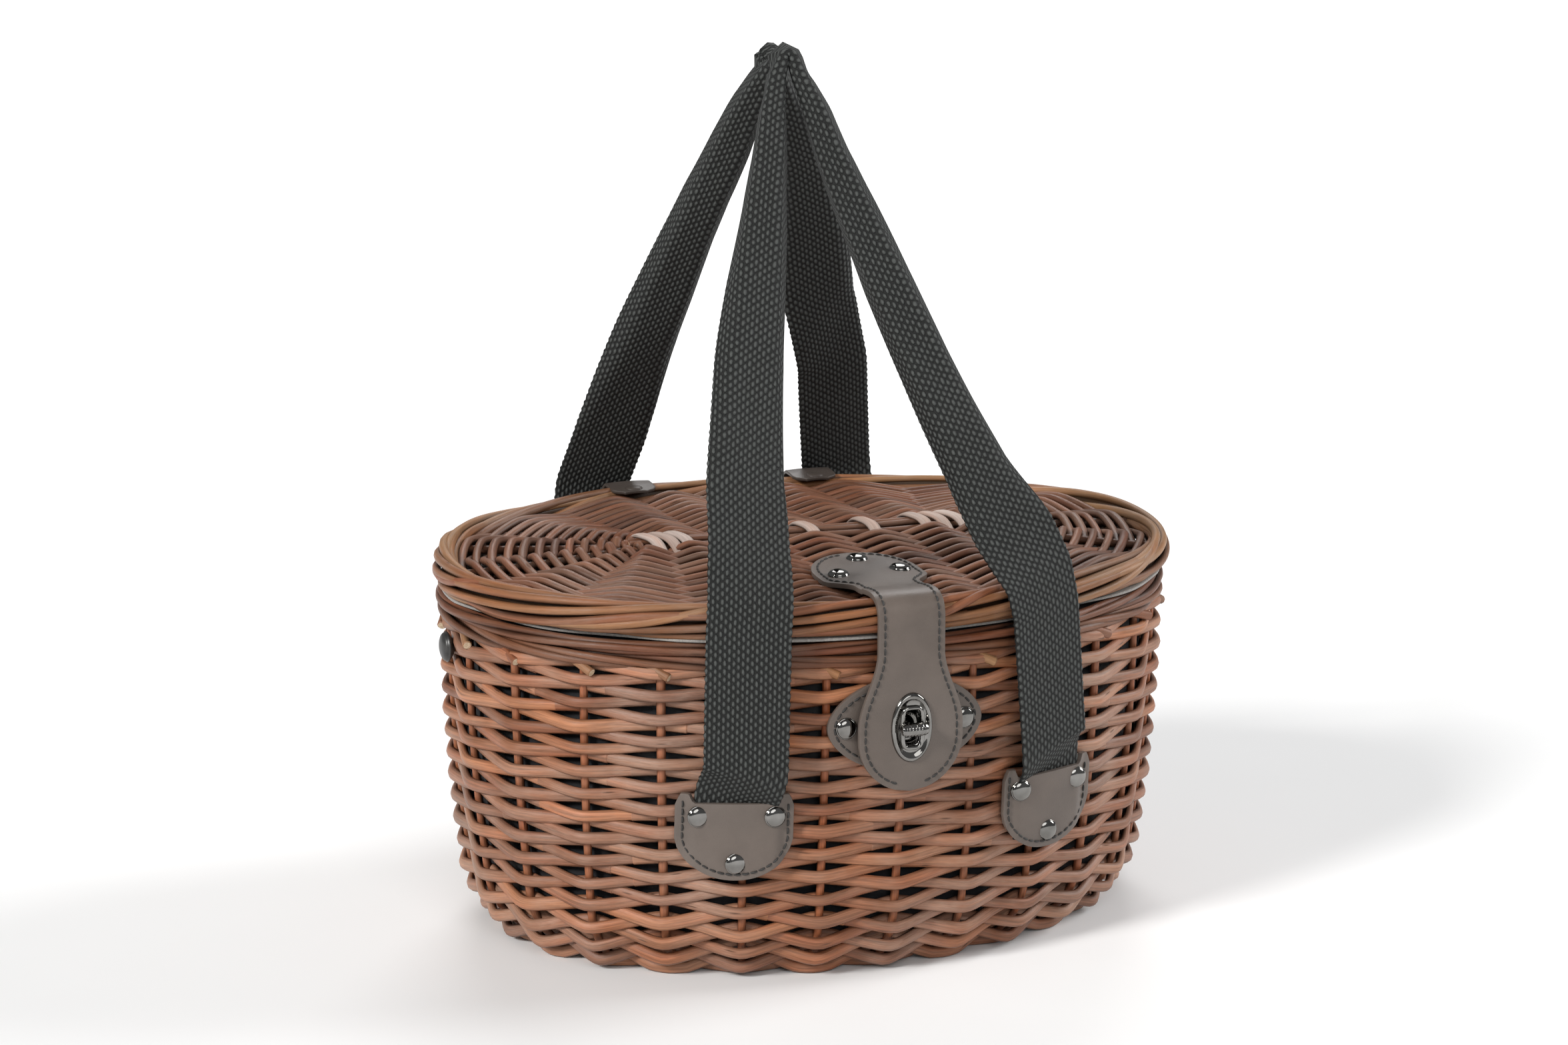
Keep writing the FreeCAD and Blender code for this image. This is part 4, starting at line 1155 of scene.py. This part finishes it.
def build_latch():
    line, along = latch_line()
    half = latch_half_width(line, along)
    s = np.linspace(-1, 1, 37)
    x = half[:, None] * s[None]
    belly = 0.5 * np.sin(np.clip((line[:, 1] - 105) / 80, 0, 1) * math.pi)[:, None]
    y = np.broadcast_to(line[:, :1], x.shape) - belly * (line[:, 1:] < 190) * (1 - s[None] ** 2)
    z = np.broadcast_to(line[:, 1:], x.shape).copy()
    on_lid = (line[:, 0] > -132)[:, None]
    for x0, y0 in tab_rivets():
        distance = np.hypot(x - x0, y - y0)
        z -= np.where(on_lid, 0.7 * np.exp(-((distance / 8.5) ** 2)), 0)
    z -= np.where(on_lid, 1.6 * (np.abs(x) / 28) ** 2.2, 0)
    points = np.stack([x, y, z], -1)

    def outside_slot(middle):
        inside = (np.abs(middle[:, 0]) < SLOT_HALF[0]) & (np.abs(middle[:, 2] - LATCH_Z) < SLOT_HALF[1])
        return ~(inside & (middle[:, 1] < -150))

    piece = solid_sheet("latch_leather", points, LEATHER, 2.5, outside_slot, rim=0.6)
    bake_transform(piece)
    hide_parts("latch_tab", "latch_flap")

    seam = latch_half_width(line, along, 3.2)
    normals = surface_normals(points)
    stitch = Shape(81)
    for sign in (-1, 1):
        keep = seam > 1.0
        column = np.clip((sign * seam / np.maximum(half, 1e-6) + 1) / 2 * 36, 0, 36)
        rows = np.arange(len(line))[keep]
        low = np.floor(column[keep]).astype(int)
        high = np.minimum(low + 1, 36)
        share = (column[keep] - low)[:, None]
        spots = points[rows, low] * (1 - share) + points[rows, high] * share
        outs = normals[rows, low]
        outs = outs * np.sign((outs * np.array((0, -1, 1))).sum(-1, keepdims=True))
        stitches(stitch, spots + outs * 1.3, outs)
    thread = stitch.build("latch_stitching", THREAD)
    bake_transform(thread)

    rivets = Shape(82)
    for x0, y0 in tab_rivets():
        spot = int(np.argmin(np.abs(line[:, 0] - y0)))
        centre = np.array((x0, y0, line[spot, 1] + 0.6 - 1.0 * (abs(x0) / 28) ** 2.2))
        rivet(rivets, centre, (0, -0.08, 1))
    settle(rivets.build("latch_tab_studs", NICKEL), "lid", "nickel", "latch_tab_rivets")


def tab_rivets():
    return ((-17.0, -97.5), (17.0, -95.5), (1.5, -74.5))


def build_backing():
    low, high = corners("latch_backing")
    half_x, half_z = (high[0] - low[0]) / 2, (high[2] - low[2]) / 2
    middle_z = (high[2] + low[2]) / 2
    face = (low[1] + high[1]) / 2
    across = np.linspace(-1, 1, 61)
    up = np.linspace(-1, 1, 31)
    t, v = np.meshgrid(np.sin(across * math.pi / 2), up)
    reach = half_z * np.clip(1 - t**2, 0, 1) ** 0.56
    x, z = t * half_x, middle_z + v * reach
    curve = 0.9 * (np.abs(t) ** 3)
    points = np.stack([x, face + curve, z], -1)
    piece = solid_sheet("latch_backing_leaf", points, LEATHER, 2.5, rim=0.6)
    settle(piece, "basket", "leather", "latch_backing")
    stitch, rivets = Shape(83), Shape(84)
    angle = np.linspace(0, 2 * math.pi, 160)
    c = np.cos(angle)
    seam_x = c * (half_x - 3.4)
    seam_z = middle_z + np.sign(np.sin(angle)) * (half_z - 3.2) * np.clip(1 - c**2, 0, 1) ** 0.56
    line = np.stack([seam_x, face - 1.3 + 0.9 * np.abs(seam_x / half_x) ** 3, seam_z], -1)
    stitches(stitch, line, np.broadcast_to((0.0, -1.0, 0.0), line.shape))
    settle(stitch.build("backing_stitching", THREAD), "basket", "leather")
    for x0 in (-31.5, 31.5):
        rivet(rivets, (x0, face - 1.0, middle_z), (0, -1, 0))
    settle(rivets.build("backing_studs", NICKEL), "basket", "nickel", "backing_rivets")


def oval_ring(shape, centre, inner, outer, heights, out, sides=64):
    """A pressed ring between a slot and an ellipse, with a height at each step across."""
    angle = np.arange(sides) * 2 * math.pi / sides
    c, s = np.cos(angle), np.sin(angle)
    hole = np.stack([inner[0] * np.sign(c) * np.abs(c) ** 0.6, inner[1] * np.sign(s) * np.abs(s) ** 0.6], -1)
    rim = np.stack([outer[0] * c, outer[1] * s], -1)
    loops = []
    for share, height in heights:
        flat = hole + (rim - hole) * share
        depth = np.full(sides, out * height)
        loops.append(np.stack([flat[:, 0], depth, flat[:, 1]], -1) + np.asarray(centre))
    shape.add(np.array(loops), [grid_faces(len(heights), sides, True, True)])


def build_turn_lock():
    plate_low, plate_high = corners("eyelet_plate")
    half = ((plate_high[0] - plate_low[0]) / 2, (plate_high[2] - plate_low[2]) / 2)
    flap_face = FLAP_LOW[1]
    eyelet = Shape(91)
    centre = (0, flap_face, LATCH_Z)
    heights = [(0.0, -2.4), (0.0, 0.5), (0.04, 0.9), (0.2, 0.95), (0.34, 0.8), (0.5, 0.85), (0.62, 1.5),
               (0.74, 2.05), (0.84, 2.05), (0.94, 1.4), (1.0, 0.3), (0.98, -0.3), (0.5, -0.3), (0.12, -2.4)]
    oval_ring(eyelet, centre, (4.3, 9.0), half, heights, -1)
    angle = np.linspace(0, 2 * math.pi, 72, endpoint=False)
    c, s = np.cos(angle), np.sin(angle)
    frame_x, frame_z = 5.2 * np.sign(c) * np.abs(c) ** 0.45, 10.2 * np.sign(s) * np.abs(s) ** 0.45
    path = np.stack([frame_x, np.full(72, flap_face - 1.7), LATCH_Z + frame_z], -1)
    tube(eyelet, path, 1.15, (0, -1, 0), 10, closed=True)
    _, back_high = corners("eyelet_back_plate")
    rear = [(0.0, 0.0), (0.0, 0.9), (1.0, 0.9), (1.0, 0.0)]
    oval_ring(eyelet, (0, back_high[1], LATCH_Z), (4.3, 9.0), (half[0] - 1, half[1] - 1), rear, -1)
    settle(eyelet.build("latch_eyelet", NICKEL), "latch", "nickel", "eyelet_plate", "eyelet_back_plate")

    base_low, base_high = corners("turn_lock_base")
    base = Shape(92)
    depth = base_high[1] - base_low[1]
    seat = [(0.02, 0), (3.4, 0), (3.6, 0.3), (8.6, depth * 0.55), (9.6, depth * 0.5), (10, 0.2), (9.6, -0.4)]
    lathe(base, seat[::-1], (0, base_low[1] + 1.0, LATCH_Z), (0, -1, 0), 32)
    settle(base.build("turn_lock_seat", NICKEL), "basket", "nickel", "turn_lock_base")

    knob_low, knob_high = corners("turn_lock_knob")
    size = knob_high - knob_low
    lying = size[0] > size[2]
    length = max(size[0], size[2])
    radius = 3.3
    reach = knob_low[1] + radius
    knob = Shape(93)
    s = np.linspace(-1, 1, 33)
    barrel = np.clip(1 - np.abs(s) ** 6, 0.0, 1) ** 0.5 * radius
    ribs = 1 + 0.05 * np.cos(s * math.pi * 9)
    profile = np.stack([barrel * ribs, s * length / 2], -1)
    profile[0, 0] = profile[-1, 0] = 0.02
    axis = (1, 0, 0) if lying else (0, 0, 1)
    lathe(knob, profile, (0, reach, LATCH_Z), axis, 36, 12, 0.035)
    lathe(knob, [(2.6, 0), (2.1, 1.2), (2.0, 3.4), (2.1, 5.6), (2.4, knob_high[1] - reach)],
          (0, reach, LATCH_Z), (0, 1, 0), 20)
    settle(knob.build("turn_lock_barrel", NICKEL), "turn_lock", "nickel", "turn_lock_knob")


# --- Lid hinges and end buttons

def build_hinges():
    for hand in ("left", "right"):
        tab_low, tab_high = corners(f"lid_hinge_tab_{hand}")
        drop_low, drop_high = corners(f"body_hinge_drop_{hand}")
        middle = (tab_low[0] + tab_high[0]) / 2
        half = (tab_high[0] - tab_low[0]) / 2
        face = (drop_low[1] + drop_high[1]) / 2
        top = tab_high[2] - 0.9
        path = [(tab_low[1] + 6.5, top - 1.6), (132, top - 1.0), (138, top - 0.2), (145, top + 0.1)]
        path += [(149.6, top - 2.2), (152.2, top - 7), (152.0, 190), (151.4, 184), (face + 0.8, 176)]
        path += [(face, z) for z in np.arange(170, drop_low[2], -6)] + [(face, drop_low[2])]
        path = np.array(path, float)
        along = distance_along(path)
        fine = np.linspace(0, along[-1], 80)
        line = sample(fine, along, path)
        corner = 7
        from_end = np.minimum(fine, fine[-1] - fine) / corner
        round_end = np.minimum(1, np.sqrt(np.clip(1 - (1 - from_end) ** 2, 0.25, 1)))
        round_end[(fine > corner) & (fine < fine[-1] - corner)] = 1
        s = np.linspace(-1, 1, 19)
        x = middle + half * round_end[:, None] * s[None]
        sag = -0.5 * (s[None] ** 2)
        y = np.broadcast_to(line[:, :1], x.shape)
        points = np.stack([x, y, line[:, 1:] + sag * (line[:, 1:] > 195)], -1)
        piece = solid_sheet(f"hinge_strap_{hand}", points[:, ::-1], HINGE_LEATHER, 1.8, rim=0.45)
        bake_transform(piece)
        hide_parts(f"lid_hinge_tab_{hand}", f"body_hinge_drop_{hand}")
        for part, body in (("lid", "lid"), ("body", "basket")):
            node = f"{part}_hinge_rivet_{hand}"
            low, high = corners(node)
            studs = Shape(94)
            x, y, z = (low + high) / 2
            if part == "lid":
                finish = HINGE_LEATHER
                rivet(studs, (x, y, top - 0.6), (0, 0, 1), 5.0, 1.4)
            else:
                finish = NICKEL
                rivet(studs, (x, face + 0.8, z), (0, 1, 0))
            settle(studs.build(f"hinge_stud_{part}_{hand}", finish), body, "nickel", node)


def build_end_buttons():
    for hand, sign in (("left", -1), ("right", 1)):
        node = f"end_button_{hand}"
        low, high = corners(node)
        outer = high[0] if sign > 0 else low[0]
        inner = low[0] if sign > 0 else high[0]
        depth = abs(outer - inner)
        radius = (high[2] - low[2]) / 2
        angle = np.linspace(0, math.pi / 2, 10)
        dome = [(radius * 0.94 * math.cos(a), depth - 3.1 + 3.1 * math.sin(a)) for a in angle]
        dome[-1] = (0.02, dome[-1][1])
        skirt = [(radius * 0.5, -3.0), (radius * 0.96, -0.5), (radius, depth - 4.0), (radius, depth - 3.4)]
        shape = Shape(95)
        lathe(shape, skirt + dome, (inner, (low[1] + high[1]) / 2, (low[2] + high[2]) / 2), (sign, 0, 0), 32)
        settle(shape.build(f"end_cap_{hand}", BUTTON), "basket", "dark_button", node)


# --- Floor, light and camera

FLOOR_HALF = 9000.0


def build_studio():
    n = Nodes("floor")
    tone = n.noise(n.place(), 3.0, 3.0)
    colour = n.ramp(tone, [(0.3, (0.87, 0.87, 0.87)), (0.7, (0.9, 0.9, 0.9))])
    material = n.finish(colour, n.grey(tone, 0.3, 0.7, 0.7, 0.8))
    points = np.array([(-1, -1, 0), (1, -1, 0), (1, 1, 0), (-1, 1, 0)], float) * FLOOR_HALF
    floor = new_piece("floor", points, [(0, 1, 2, 3)])
    floor.data.materials.append(material)
    floor.location.z = -0.5 * MM

    world = bpy.data.worlds.new("studio")
    bpy.context.scene.world = world
    world.use_nodes = True
    backdrop = world.node_tree.nodes["Background"]
    backdrop.inputs[0].default_value = (0.97, 0.985, 1.0, 1)
    backdrop.inputs[1].default_value = 0.22

    def lamp(name, way, power, softness, colour=(1, 1, 1)):
        data = bpy.data.lights.new(name, "SUN")
        data.energy = power
        data.angle = math.radians(softness)
        data.color = colour
        item = bpy.data.objects.new(name, data)
        item.location = Vector(way) * 2
        item.rotation_euler = (-Vector(way)).to_track_quat("-Z", "Y").to_euler()
        bpy.context.collection.objects.link(item)

    lamp("left", (-1.0, -0.4, 0.65), 2.7, 14, (1.0, 0.985, 0.965))
    lamp("right", (1.0, -0.05, 0.55), 2.0, 25)
    lamp("front", (-0.1, -1.0, 0.6), 0.85, 35)
    lamp("top", (0.3, 0.9, 0.9), 1.0, 30)

    data = bpy.data.cameras.new("camera")
    data.sensor_width = 36
    data.lens = 81.6
    camera = bpy.data.objects.new("camera", data)
    bpy.context.collection.objects.link(camera)
    camera.location = (-0.6299, -1.7306, 0.6334)
    azimuth, elevation, roll = math.radians(-19.66), math.radians(13.006), math.radians(0.153)
    level = math.cos(elevation)
    back = Vector((math.sin(azimuth) * level, -math.cos(azimuth) * level, math.sin(elevation)))
    aim = (-back).to_track_quat("-Z", "Y")
    camera.rotation_mode = "QUATERNION"
    camera.rotation_quaternion = aim @ Quaternion((0, 0, 1), roll)
    bpy.context.scene.camera = camera
    bpy.context.scene.view_settings.view_transform = "Standard"


build_wall()
build_borders()
build_lid()
build_base()
build_lining()
build_patches()
build_handles()
build_latch()
build_backing()
build_turn_lock()
build_hinges()
build_end_buttons()
build_studio()
